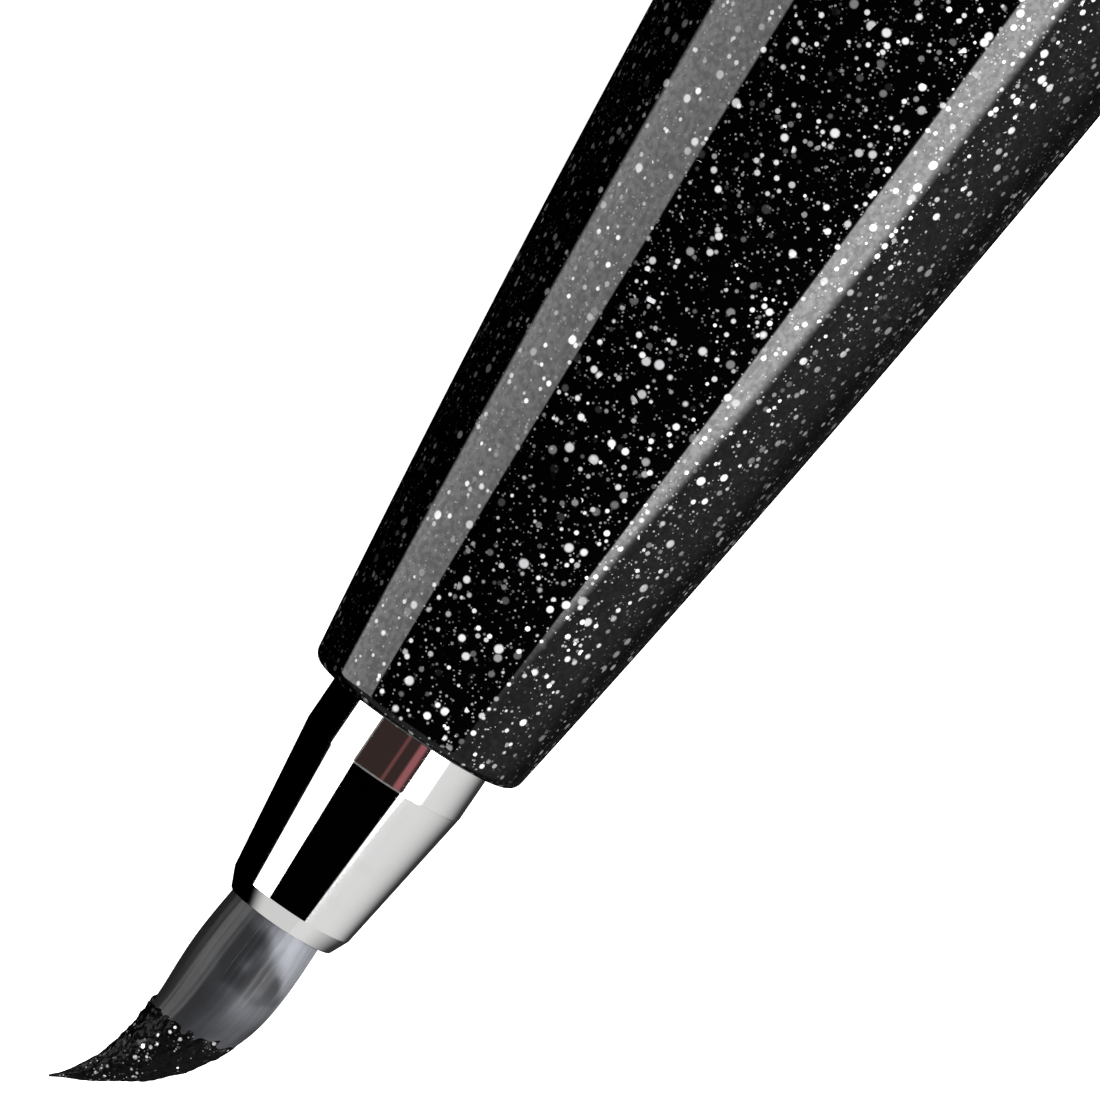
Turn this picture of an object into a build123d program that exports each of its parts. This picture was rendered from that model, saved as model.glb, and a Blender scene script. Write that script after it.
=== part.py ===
from build123d import *
from math import acos, atan2, cos, degrees, floor, hypot, radians, sin
import os

# A brush pen that carries its own ink, lying along X with the brush towards -X and the
# cap posted on its tail. Millimetres. The origin is on the pen's axis, at the middle of
# the barrel. Radii are from that axis unless a name says otherwise.

# ---------------------------------------------------------------- driving dimensions
# clearances
bond_gap = 0.03
seal_gap = 0.02
running_gap = 0.06
face_gap = 0.1

# barrel and its tail
barrel_length = 78.0
barrel_radius = 7.4
barrel_edge = 0.3
seat_step = 1.015
spigot_step = 0.235
tail_seat_length = 12.0
tail_wall = 1.185
tail_bore_length = 34.0
tail_lip = 2.0
tail_lip_height = 0.44

# nose section
taper_length = 27.5
taper_bulge = 0.198
nose_rim = 0.793
nose_corner = 0.38
nose_seat_length = 6.0
nose_spigot_length = 8.0
nose_wall_at_seat = 1.085
cap_seal_inset = 1.5

# ferrule
ferrule_cone_length = 5.0
ferrule_band_length = 1.5
ferrule_hold_length = 5.5
ferrule_flange = 0.8
ferrule_flange_height = 0.5
ferrule_radius = 2.5
ferrule_socket_step = 0.3
ferrule_socket_depth = 4.0
lip_length = 0.55
lip_wall = 0.08
lip_flare = 0.25
seam_width = 0.08
seam_depth = 0.04
seam_step = 0.02

# brush
brush_radius = 1.42
brush_lean = 2.75
brush_offset = 0.09
brush_straight = 3.2
brush_bend = 46.0
brush_bend_length = 4.9
brush_start = 0.3
brush_ferrule_gap = 0.13
root_flange = 0.9
feed_bore = 0.6
feed_tube_wall = 0.2
feed_tube_front = 1.5
feed_tube_length = 14.5

# ink tank
tank_wall = 0.65
tank_gap = 0.05
carrier_flange = 1.2
carrier_seat_length = 5.0
carrier_seat_wall = 0.97
carrier_step_in_seat = 2.0
funnel_start = 4.0
funnel_length = 12.0
ball_radius = 1.75
ball_travel = 12.6
ball_rest = 5.0

# feed mechanism
thread_pitch = 1.5
tooth_width = 0.45
screw_radius = 1.5
screw_flat = 1.15
screw_hold = 5.5
screw_clear = 1.0
screw_head_inset = 0.12
screw_neck_inset = 0.45
screw_head_length = 1.7
screw_neck_length = 1.2
thread_lug_width = 0.35
thread_lug_height = 0.3
nut_thickness = 4.0
nut_spigot = 1.5
nut_recess = 1.5
piston_length = 8.0
piston_lip = 0.8
piston_waist = 0.25
piston_front_wall = 4.0
piston_socket_floor = 0.6
piston_hub_wall = 1.22
piston_skirt_wall = 1.3
piston_rest_gap = 0.5
rotor_gap = 1.0
rotor_length = 9.0
journal_step = 0.9
crown_teeth = 12
crown_height = 1.2
crown_tooth_width = 1.2
crown_inset = 0.25
crown_reach = 1.05
button_travel = 1.8
button_out = 8.5
button_flange = 2.9
button_flange_gap = 0.15
button_bore_gap = 0.8
button_edge = 0.9
button_end_wall = 3.0
key_reach = 0.5
key_width = 1.6
spring_wire = 0.28
spring_room = 1.2
spring_turns = 11

# seals and trim
tank_seal_section = 0.45
nose_seal_section = 0.25
cap_seal_section = 0.3
ring_width = 1.5
ring_edge = 0.2

# cap
cap_clear = 3.0
cap_wall = 0.5
cap_liner_wall = 0.9
cap_socket_gap = 0.065
cap_socket_clear = 0.5
cap_end_wall = 1.0
cap_band_start = 1.0
cap_band_width = 3.0
cap_band_depth = 0.22
crown_thickness = 2.5
crown_edge = 0.8

# clip
clip_sheet = 0.6
clip_width = 4.2
clip_height = 1.9
clip_length = 36.0
clip_thickness = 0.7
clip_tip_length = 4.0
clip_contact_length = 5.2
clip_bump = 0.1
clip_tip_rise = 0.7
clip_tip_drop = 0.23
clip_washer_bore = 4.0
clip_edge = 0.12
clip_gap = 0.05
table_gap = 0.02

# ---------------------------------------------------------------------- fitted radii
cap_seat_radius = barrel_radius - seat_step
barrel_bore = cap_seat_radius - spigot_step
tail_bore = cap_seat_radius - tail_wall
nose_spigot_radius = barrel_bore - 2 * bond_gap
nose_tank_bore = cap_seat_radius - nose_wall_at_seat
nose_front_radius = ferrule_radius + nose_rim
nose_mid_radius = (nose_front_radius + cap_seat_radius) / 2 + taper_bulge
ferrule_flange_radius = ferrule_radius + ferrule_flange_height
ferrule_bore = brush_radius + brush_ferrule_gap
ferrule_socket_radius = ferrule_bore + ferrule_socket_step
lip_front_radius = ferrule_bore + lip_wall
lip_back_radius = lip_front_radius + lip_flare
nose_inner_front_radius = ferrule_flange_radius + face_gap
tank_radius = nose_tank_bore - tank_gap
tank_bore = tank_radius - tank_wall
button_radius = tail_bore - tail_lip_height - running_gap
button_flange_radius = tail_bore - button_flange_gap
button_stem_radius = tail_bore - spring_room
button_bore = screw_radius + button_bore_gap
spring_radius = tail_bore - spring_room / 2
rotor_radius = button_stem_radius - face_gap
rotor_journal_radius = rotor_radius - journal_step
crown_outer_radius = rotor_radius - crown_inset
crown_inner_radius = crown_outer_radius - crown_reach
screw_hole = screw_radius + running_gap
screw_head_radius = screw_radius - screw_head_inset
screw_neck_radius = screw_head_radius - screw_neck_inset

# ------------------------------------------------------------------------- stations
x_barrel_front = -barrel_length / 2
x_barrel_back = barrel_length / 2
x_seat_front = x_barrel_front - nose_seat_length
x_nose_front = x_seat_front - taper_length
x_nose_back = x_barrel_front + nose_spigot_length
x_band_front = x_nose_front - ferrule_band_length
x_mouth = x_band_front - ferrule_cone_length
x_socket = x_mouth + ferrule_socket_depth
x_ferrule_step = x_nose_front + ferrule_hold_length
x_ferrule_back = x_ferrule_step + ferrule_flange
x_root_back = x_socket + root_flange
x_carrier_cone = x_ferrule_back + carrier_flange
x_carrier_step = x_seat_front + carrier_step_in_seat
x_carrier_back = x_carrier_step + carrier_seat_length
x_tank_front = x_carrier_step + face_gap

x_tail_end = x_barrel_back + tail_seat_length
x_lip_front = x_tail_end - tail_lip
x_shoulder = x_lip_front - tail_bore_length
x_nut_front = x_shoulder - nut_thickness
x_piston_back = x_nut_front - nut_spigot - piston_rest_gap
x_piston_front = x_piston_back - piston_length
x_rotor_front = x_shoulder + rotor_gap
x_rotor_back = x_rotor_front + rotor_length
x_button_front = x_rotor_back + 2 * crown_height + button_travel + 2 * face_gap
x_button_back = x_tail_end + button_out
x_flange_back = x_lip_front - face_gap
x_flange_front = x_flange_back - button_flange
x_button_wall = x_button_back - button_end_wall

# The feed runs whole turns, as far as the tank ahead and the button behind leave room.
room_ahead = x_piston_front - x_carrier_back - ball_travel
room_behind = x_button_wall - button_travel - screw_clear - x_rotor_front - screw_hold
feed_turns = floor(min(room_ahead, room_behind) / thread_pitch)
feed_stroke = feed_turns * thread_pitch
x_screw_back = x_rotor_front + screw_hold + feed_stroke
x_ball = x_carrier_back + ball_rest

# ------------------------------------------------------------------------- the brush
# The tuft leaves the ferrule straight, a little off the axis, and then bends in the XY
# plane. Each section of it is a share of the whole length and of the full radius.
tuft_sections = (
    (0.0, 1.0),
    (0.22, 1.03),
    (0.38, 0.98),
    (0.54, 0.79),
    (0.67, 0.58),
    (0.78, 0.33),
    (0.88, 0.18),
    (1.0, 0.06),
)
tuft_length = brush_straight + brush_bend_length
bend_radius = brush_bend_length / radians(brush_bend)


def tuft_plane(share):
    """Return the plane square to the tuft's centre line at a share of its length."""
    along = share * tuft_length
    straight = min(along, brush_straight)
    turned = max(along - brush_straight, 0) / bend_radius
    start = radians(brush_lean)
    x = straight * cos(start) + bend_radius * (sin(start + turned) - sin(start))
    y = straight * sin(start) + bend_radius * (cos(start) - cos(start + turned))
    heading = start + turned
    origin = (x_mouth + brush_start - x, brush_offset + y, 0)
    return Plane(origin=origin, x_dir=(0, 0, 1), z_dir=(-cos(heading), sin(heading), 0))


x_brush_tip = tuft_plane(1.0).origin.X

# ---------------------------------------------------------------------------- the cap
x_cap_mouth = x_barrel_back + ring_width + face_gap
cap_depth_over_nose = x_barrel_front - ring_width - x_brush_tip + cap_clear
cap_depth_over_tail = x_button_back - x_cap_mouth + cap_clear
cap_depth = max(cap_depth_over_nose, cap_depth_over_tail)
x_cap_end = x_cap_mouth + cap_depth
x_liner_back = x_cap_end + cap_end_wall
x_washer_back = x_liner_back + clip_sheet
x_crown_back = x_washer_back + crown_thickness
cap_bore = barrel_radius - cap_wall
liner_radius = cap_bore - bond_gap
liner_bore = cap_seat_radius + cap_socket_gap
liner_deep_bore = liner_radius - cap_liner_wall

# The clip stands at the angle where its lower corner meets the table that the barrel
# lies on, so that the pen can't roll.
clip_outer_radius = barrel_radius + clip_height
clip_corner = hypot(clip_outer_radius, clip_width / 2)
clip_angle = degrees(
    acos((barrel_radius - table_gap) / clip_corner) + atan2(clip_width / 2, clip_outer_radius)
)
clip_out = (0, -sin(radians(clip_angle)), -cos(radians(clip_angle)))
clip_plane = Plane(origin=(0, 0, 0), x_dir=(1, 0, 0), z_dir=(0, -clip_out[2], clip_out[1]))
x_clip_root = x_liner_back - clip_gap


def turned(*outline, mode=Mode.ADD):
    """Turn a closed outline of (x, radius) corners about the pen's axis."""
    with BuildSketch(Plane.XY) as profile:
        with BuildLine():
            Polyline(*outline, close=True)
        make_face()
    revolve(profile.sketch, axis=Axis.X, mode=mode)


def o_ring(x, outer_radius, section):
    """Add a round-section ring by its outer radius and its section's radius."""
    with BuildSketch(Plane.XY) as profile:
        with Locations((x, outer_radius - section)):
            Circle(section)
    revolve(profile.sketch, axis=Axis.X)


def groove(x, outer_radius, section):
    """Cut the square groove that an o_ring of the same sizes lies in."""
    half = section + seal_gap
    bottom_radius = outer_radius - 2 * section - seal_gap
    turned(
        (x - half, bottom_radius),
        (x + half, bottom_radius),
        (x + half, outer_radius + section),
        (x - half, outer_radius + section),
        mode=Mode.SUBTRACT,
    )


def saw_crown(x, way):
    """Add a ring of saw teeth that stand from x towards way (+1 or -1 along X)."""
    step = 360 / crown_teeth
    for index in range(crown_teeth):
        angle = radians(index * step)
        out = (0, cos(angle), sin(angle))
        face = Plane(origin=(x, 0, 0), x_dir=(1, 0, 0), z_dir=out)
        with BuildSketch(face.offset(crown_inner_radius)) as tooth:
            with BuildLine():
                Polyline(
                    (-way * face_gap, -crown_tooth_width / 2),
                    (way * crown_height, -crown_tooth_width / 2),
                    (0, crown_tooth_width / 2),
                    (-way * face_gap, crown_tooth_width / 2),
                    close=True,
                )
            make_face()
        extrude(tooth.sketch, amount=crown_outer_radius - crown_inner_radius)


# ------------------------------------------------------------------------ nose section
nose_seal_x = (x_barrel_front + x_nose_back) / 2
nose_seal_radius = barrel_bore - seal_gap
cap_seal_x = x_seat_front + cap_seal_inset
cap_seal_radius = liner_bore - seal_gap
carrier_flange_radius = nose_inner_front_radius - face_gap

with BuildPart() as nose_section:
    with BuildSketch(Plane.XY):
        with BuildLine():
            taper = ThreePointArc(
                (x_nose_front, nose_front_radius),
                (x_nose_front + taper_length / 2, nose_mid_radius),
                (x_seat_front, cap_seat_radius),
            )
            Polyline(
                taper @ 1,
                (x_barrel_front, cap_seat_radius),
                (x_barrel_front, nose_spigot_radius),
                (x_nose_back, nose_spigot_radius),
                (x_nose_back, nose_tank_bore),
                (x_carrier_step, nose_tank_bore),
                (x_carrier_cone, nose_inner_front_radius),
                (x_ferrule_step, nose_inner_front_radius),
                (x_ferrule_step, ferrule_radius + bond_gap),
                (x_nose_front, ferrule_radius + bond_gap),
                taper @ 0,
            )
        make_face()
    revolve(axis=Axis.X)
    front_rim = nose_section.edges().filter_by(GeomType.CIRCLE).group_by(Axis.X)[0]
    fillet(front_rim.sort_by(SortBy.RADIUS)[-1], radius=nose_corner)
    groove(nose_seal_x, nose_seal_radius, nose_seal_section)
    groove(cap_seal_x, cap_seal_radius, cap_seal_section)
nose_section.part.label = "nose_section"

with BuildPart() as nose_seal:
    o_ring(nose_seal_x, nose_seal_radius, nose_seal_section)
nose_seal.part.label = "nose_seal"

with BuildPart() as cap_seal:
    o_ring(cap_seal_x, cap_seal_radius, cap_seal_section)
cap_seal.part.label = "cap_seal"

# ----------------------------------------------------------------------------- ferrule
ferrule_cone_back_radius = ferrule_radius - seam_step

with BuildPart() as ferrule:
    turned(
        (x_mouth, ferrule_bore),
        (x_mouth, lip_front_radius),
        (x_mouth + lip_length, lip_back_radius),
        (x_band_front - seam_width / 2, ferrule_cone_back_radius),
        (x_band_front - seam_width / 2, ferrule_cone_back_radius - seam_depth),
        (x_band_front + seam_width / 2, ferrule_cone_back_radius - seam_depth),
        (x_band_front + seam_width / 2, ferrule_radius),
        (x_ferrule_step, ferrule_radius),
        (x_ferrule_step, ferrule_flange_radius),
        (x_ferrule_back, ferrule_flange_radius),
        (x_ferrule_back, ferrule_socket_radius),
        (x_socket, ferrule_socket_radius),
        (x_socket, ferrule_bore),
    )
ferrule.part.label = "ferrule"

# ------------------------------------------------------------------------------- brush
with BuildPart() as brush_tuft:
    for share, radius_share in tuft_sections:
        with BuildSketch(tuft_plane(share)):
            Circle(brush_radius * radius_share)
    loft(ruled=True)
brush_tuft.part.label = "brush_tuft"

with BuildPart() as brush_root:
    turned(
        (x_mouth + brush_start + face_gap, feed_bore),
        (x_mouth + brush_start + face_gap, brush_radius + bond_gap),
        (x_socket, brush_radius + bond_gap),
        (x_socket, ferrule_socket_radius - bond_gap),
        (x_root_back, ferrule_socket_radius - bond_gap),
        (x_root_back, feed_bore),
    )
brush_root.part.label = "brush_root"

feed_tube_radius = feed_bore - bond_gap
x_feed_front = x_mouth + feed_tube_front
x_feed_back = x_feed_front + feed_tube_length

with BuildPart() as feed_tube:
    turned(
        (x_feed_front, feed_tube_radius - feed_tube_wall),
        (x_feed_front, feed_tube_radius),
        (x_feed_back, feed_tube_radius),
        (x_feed_back, feed_tube_radius - feed_tube_wall),
    )
feed_tube.part.label = "feed_tube"

# ---------------------------------------------------------------------------- ink tank
carrier_seat_radius = tank_bore - bond_gap
carrier_mouth_radius = carrier_seat_radius - carrier_seat_wall
tank_seal_x = (x_carrier_step + x_carrier_back) / 2
tank_seal_radius = tank_bore - seal_gap
x_funnel = x_carrier_cone + funnel_start

with BuildPart() as nib_carrier:
    turned(
        (x_root_back, feed_bore),
        (x_root_back, ferrule_socket_radius - bond_gap),
        (x_ferrule_back, ferrule_socket_radius - bond_gap),
        (x_ferrule_back, carrier_flange_radius),
        (x_carrier_cone, carrier_flange_radius),
        (x_carrier_step, nose_tank_bore - face_gap),
        (x_carrier_step, carrier_seat_radius),
        (x_carrier_back, carrier_seat_radius),
        (x_carrier_back, carrier_mouth_radius),
        (x_funnel + funnel_length, carrier_mouth_radius),
        (x_funnel, feed_bore),
    )
    groove(tank_seal_x, tank_seal_radius, tank_seal_section)
nib_carrier.part.label = "nib_carrier"

with BuildPart() as tank_seal:
    o_ring(tank_seal_x, tank_seal_radius, tank_seal_section)
tank_seal.part.label = "tank_seal"

with BuildPart() as ink_tank:
    turned(
        (x_tank_front, tank_bore),
        (x_tank_front, tank_radius),
        (x_nut_front, tank_radius),
        (x_nut_front, tank_bore),
    )
ink_tank.part.label = "ink_tank"

with BuildPart() as mixing_ball:
    with Locations((x_ball, 0, ball_radius + running_gap - tank_bore)):
        Sphere(ball_radius)
mixing_ball.part.label = "mixing_ball"

# ---------------------------------------------------------------------- feed mechanism
piston_radius = tank_bore - running_gap
x_socket_front = x_piston_front + piston_front_wall + piston_socket_floor
x_head_front = x_socket_front + face_gap
x_neck_front = x_head_front + screw_head_length
x_socket_back = x_neck_front + face_gap
x_screw_core = x_neck_front + screw_neck_length
piston_skirt_bore = piston_radius - piston_skirt_wall
piston_hub_radius = screw_head_radius + piston_hub_wall

with BuildPart() as piston:
    turned(
        (x_piston_front, 0),
        (x_piston_front, piston_radius),
        (x_piston_front + piston_lip, piston_radius),
        (x_piston_front + piston_lip, piston_radius - piston_waist),
        (x_piston_back - piston_lip, piston_radius - piston_waist),
        (x_piston_back - piston_lip, piston_radius),
        (x_piston_back, piston_radius),
        (x_piston_back, piston_skirt_bore),
        (x_piston_front + piston_front_wall, piston_skirt_bore),
        (x_piston_front + piston_front_wall, piston_hub_radius),
        (x_screw_core - face_gap, piston_hub_radius),
        (x_screw_core - face_gap, screw_neck_radius + running_gap),
        (x_socket_back, screw_neck_radius + running_gap),
        (x_socket_back, screw_head_radius + running_gap),
        (x_socket_front, screw_head_radius + running_gap),
        (x_socket_front, 0),
    )
piston.part.label = "piston"

# The screw has a round core between two flats. Each of its two toothed edges is half a
# pitch on from the other, so that a lug of the nut stays between teeth as it turns.
x_lug = x_shoulder - nut_recess - thread_pitch

with BuildPart() as feed_screw:
    turned(
        (x_head_front, 0),
        (x_head_front, screw_head_radius),
        (x_neck_front, screw_head_radius),
        (x_neck_front, screw_neck_radius),
        (x_screw_core, screw_neck_radius),
        (x_screw_core, screw_flat),
        (x_screw_back, screw_flat),
        (x_screw_back, 0),
    )
    for side, first in ((1, thread_pitch / 2), (-1, thread_pitch)):
        x_first = x_lug + first - tooth_width / 2
        ahead = floor((x_first - x_screw_core) / thread_pitch)
        behind = floor((x_screw_back - tooth_width - x_first) / thread_pitch)
        stations = [x_first + index * thread_pitch for index in range(-ahead, behind + 1)]
        with BuildSketch(*[Plane.YZ.offset(x) for x in stations]):
            Circle(screw_radius)
            with Locations((side * screw_radius / 2, 0)):
                Rectangle(screw_radius, 2 * screw_flat, mode=Mode.INTERSECT)
        extrude(amount=tooth_width)
feed_screw.part.label = "feed_screw"

with BuildPart() as guide_nut:
    turned(
        (x_nut_front - nut_spigot, screw_hole),
        (x_nut_front - nut_spigot, tank_bore - bond_gap),
        (x_nut_front, tank_bore - bond_gap),
        (x_nut_front, barrel_bore - bond_gap),
        (x_shoulder, barrel_bore - bond_gap),
        (x_shoulder, rotor_journal_radius + running_gap),
        (x_shoulder - nut_recess, rotor_journal_radius + running_gap),
        (x_shoulder - nut_recess, screw_hole),
    )
    for side, x_centre in ((1, x_lug), (-1, x_lug + thread_pitch / 2)):
        with BuildSketch(Plane.YZ.offset(x_centre - thread_lug_width / 2)):
            with Locations((side * screw_hole, 0)):
                Rectangle(2 * thread_lug_height, thread_lug_width)
        extrude(amount=thread_lug_width)
guide_nut.part.label = "guide_nut"

with BuildPart() as ratchet_rotor:
    turned(
        (x_shoulder - nut_recess + face_gap, 0),
        (x_shoulder - nut_recess + face_gap, rotor_journal_radius),
        (x_rotor_front, rotor_journal_radius),
        (x_rotor_front, rotor_radius),
        (x_rotor_back, rotor_radius),
        (x_rotor_back, 0),
    )
    saw_crown(x_rotor_back, 1)
    with BuildSketch(Plane.YZ.offset(x_shoulder - nut_recess)):
        Circle(screw_hole)
        Rectangle(2 * screw_hole, 2 * (screw_flat + running_gap), mode=Mode.INTERSECT)
    extrude(amount=x_rotor_back - x_shoulder + nut_recess + crown_height, mode=Mode.SUBTRACT)
ratchet_rotor.part.label = "ratchet_rotor"

with BuildPart() as push_button:
    turned(
        (x_button_front, button_bore),
        (x_button_front, button_stem_radius),
        (x_flange_front, button_stem_radius),
        (x_flange_front, button_flange_radius),
        (x_flange_back, button_flange_radius),
        (x_flange_back, button_radius),
        (x_button_back, button_radius),
        (x_button_back, 0),
        (x_button_wall, 0),
        (x_button_wall, button_bore),
    )
    saw_crown(x_button_front, -1)
    with BuildSketch(Plane.YZ.offset(x_flange_front)):
        Rectangle(2 * (button_flange_radius + key_reach), key_width)
        Circle(button_stem_radius, mode=Mode.SUBTRACT)
    extrude(amount=button_flange)
    back_rim = push_button.edges().filter_by(GeomType.CIRCLE).group_by(Axis.X)[-1]
    fillet(back_rim, radius=button_edge)
push_button.part.label = "push_button"

x_spring_front = x_shoulder + spring_wire
x_spring_back = x_flange_front - spring_wire
spring_length = x_spring_back - x_spring_front - 2 * face_gap

with BuildPart() as return_spring:
    with BuildLine():
        coil = Helix(
            pitch=spring_length / spring_turns,
            height=spring_length,
            radius=spring_radius,
            center=(x_spring_front + face_gap, 0, 0),
            direction=(1, 0, 0),
        )
    with BuildSketch(Plane(origin=coil @ 0, z_dir=coil % 0)):
        Circle(spring_wire)
    sweep(is_frenet=True)
return_spring.part.label = "return_spring"

# ------------------------------------------------------------------------------ barrel
key_slot_radius = button_flange_radius + key_reach + face_gap

with BuildPart() as barrel:
    turned(
        (x_barrel_front, barrel_bore),
        (x_barrel_front, barrel_radius - barrel_edge),
        (x_barrel_front + barrel_edge, barrel_radius),
        (x_barrel_back - barrel_edge, barrel_radius),
        (x_barrel_back, barrel_radius - barrel_edge),
        (x_barrel_back, cap_seat_radius),
        (x_tail_end - barrel_edge, cap_seat_radius),
        (x_tail_end, cap_seat_radius - barrel_edge),
        (x_tail_end, button_radius + running_gap),
        (x_lip_front, button_radius + running_gap),
        (x_lip_front, tail_bore),
        (x_shoulder, tail_bore),
        (x_shoulder, barrel_bore),
    )
    with BuildSketch(Plane.YZ.offset(x_shoulder)):
        Rectangle(2 * key_slot_radius, key_width + 2 * face_gap)
    extrude(amount=tail_bore_length, mode=Mode.SUBTRACT)
barrel.part.label = "barrel"


def trim_ring(x):
    """Add a bright ring of one width that slides over a cap seat and stops at x."""
    bore = cap_seat_radius + bond_gap
    turned(
        (x, bore),
        (x, barrel_radius - ring_edge),
        (x + ring_edge, barrel_radius),
        (x + ring_width - ring_edge, barrel_radius),
        (x + ring_width, barrel_radius - ring_edge),
        (x + ring_width, bore),
    )


with BuildPart() as front_trim_ring:
    trim_ring(x_barrel_front - ring_width)
front_trim_ring.part.label = "front_trim_ring"

with BuildPart() as rear_trim_ring:
    trim_ring(x_barrel_back)
rear_trim_ring.part.label = "rear_trim_ring"

# --------------------------------------------------------------------------------- cap
x_band_start = x_cap_mouth + cap_band_start
x_band_end = x_band_start + cap_band_width
band_seat = barrel_radius - cap_band_depth
x_liner_step = x_tail_end + cap_socket_clear

with BuildPart() as cap_shell:
    turned(
        (x_cap_mouth, cap_bore),
        (x_cap_mouth, barrel_radius - ring_edge),
        (x_cap_mouth + ring_edge, barrel_radius),
        (x_band_start, barrel_radius),
        (x_band_start, band_seat),
        (x_band_end, band_seat),
        (x_band_end, barrel_radius),
        (x_liner_back, barrel_radius),
        (x_liner_back, cap_bore),
    )
cap_shell.part.label = "cap_shell"

with BuildPart() as cap_band:
    turned(
        (x_band_start, band_seat + seal_gap),
        (x_band_start, barrel_radius),
        (x_band_end, barrel_radius),
        (x_band_end, band_seat + seal_gap),
    )
cap_band.part.label = "cap_band"

with BuildPart() as cap_liner:
    turned(
        (x_cap_mouth, liner_bore),
        (x_cap_mouth, liner_radius),
        (x_liner_back, liner_radius),
        (x_liner_back, 0),
        (x_cap_end, 0),
        (x_cap_end, liner_deep_bore),
        (x_liner_step, liner_deep_bore),
        (x_liner_step, liner_bore),
    )
cap_liner.part.label = "cap_liner"

with BuildPart() as cap_crown:
    turned(
        (x_liner_back, 0),
        (x_liner_back, clip_washer_bore - bond_gap),
        (x_washer_back, clip_washer_bore - bond_gap),
        (x_washer_back, barrel_radius),
        (x_crown_back, barrel_radius),
        (x_crown_back, 0),
    )
    crown_rim = cap_crown.edges().filter_by(GeomType.CIRCLE).group_by(Axis.X)[-1]
    fillet(crown_rim, radius=crown_edge)
cap_crown.part.label = "cap_crown"

# -------------------------------------------------------------------------------- clip
clip_inner_radius = clip_outer_radius - clip_thickness
x_clip_tip = x_clip_root - clip_length
bump_radius = barrel_radius + clip_bump

with BuildPart() as clip_anchor:
    turned(
        (x_liner_back, clip_washer_bore),
        (x_liner_back, barrel_radius - face_gap),
        (x_washer_back, barrel_radius - face_gap),
        (x_washer_back, clip_washer_bore),
    )
    with BuildSketch(clip_plane):
        with BuildLine():
            Polyline(
                (x_liner_back, barrel_radius - cap_liner_wall),
                (x_liner_back, clip_outer_radius),
                (x_washer_back, clip_outer_radius),
                (x_washer_back, barrel_radius - cap_liner_wall),
                close=True,
            )
        make_face()
    extrude(amount=clip_width / 2, both=True)
clip_anchor.part.label = "clip_anchor"

with BuildPart() as clip_arm:
    with BuildSketch(clip_plane):
        with BuildLine():
            Polyline(
                (x_clip_root, clip_inner_radius),
                (x_clip_root, clip_outer_radius),
                (x_clip_tip + clip_tip_length, clip_outer_radius - clip_tip_drop),
                (x_clip_tip, bump_radius + 2 * clip_tip_rise),
                (x_clip_tip, bump_radius + clip_tip_rise),
            )
            ThreePointArc(
                (x_clip_tip, bump_radius + clip_tip_rise),
                (x_clip_tip + clip_contact_length / 2, bump_radius),
                (x_clip_tip + clip_contact_length, bump_radius + clip_tip_rise),
            )
            Line(
                (x_clip_tip + clip_contact_length, bump_radius + clip_tip_rise),
                (x_clip_root, clip_inner_radius),
            )
        make_face()
    extrude(amount=clip_width / 2, both=True)
    long_edges = clip_arm.edges().filter_by(lambda edge: edge.length > clip_length / 2)
    chamfer(long_edges, length=clip_edge)
clip_arm.part.label = "clip_arm"

# ------------------------------------------------------------------------------ export
os.makedirs("parts", exist_ok=True)
pieces = (
    nose_section,
    nose_seal,
    cap_seal,
    ferrule,
    brush_tuft,
    brush_root,
    feed_tube,
    nib_carrier,
    tank_seal,
    ink_tank,
    mixing_ball,
    piston,
    feed_screw,
    guide_nut,
    ratchet_rotor,
    push_button,
    return_spring,
    barrel,
    front_trim_ring,
    rear_trim_ring,
    cap_shell,
    cap_band,
    cap_liner,
    cap_crown,
    clip_anchor,
    clip_arm,
)
for piece in pieces:
    export_step(piece.part, f"parts/{piece.part.label}.step")
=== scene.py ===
"""Looks of a brush pen that carries its own ink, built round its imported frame.

The pen lies along X with the brush towards -X and the cap posted on its tail. Sizes in the
classes are millimetres, and every mesh is made in metres.
"""

import logging
import math
import random
from dataclasses import dataclass
from enum import Enum
from functools import lru_cache
from typing import Any, Callable, Optional, Sequence, Union

import bpy
import numpy as np
from mathutils import Matrix, Vector, noise


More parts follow.
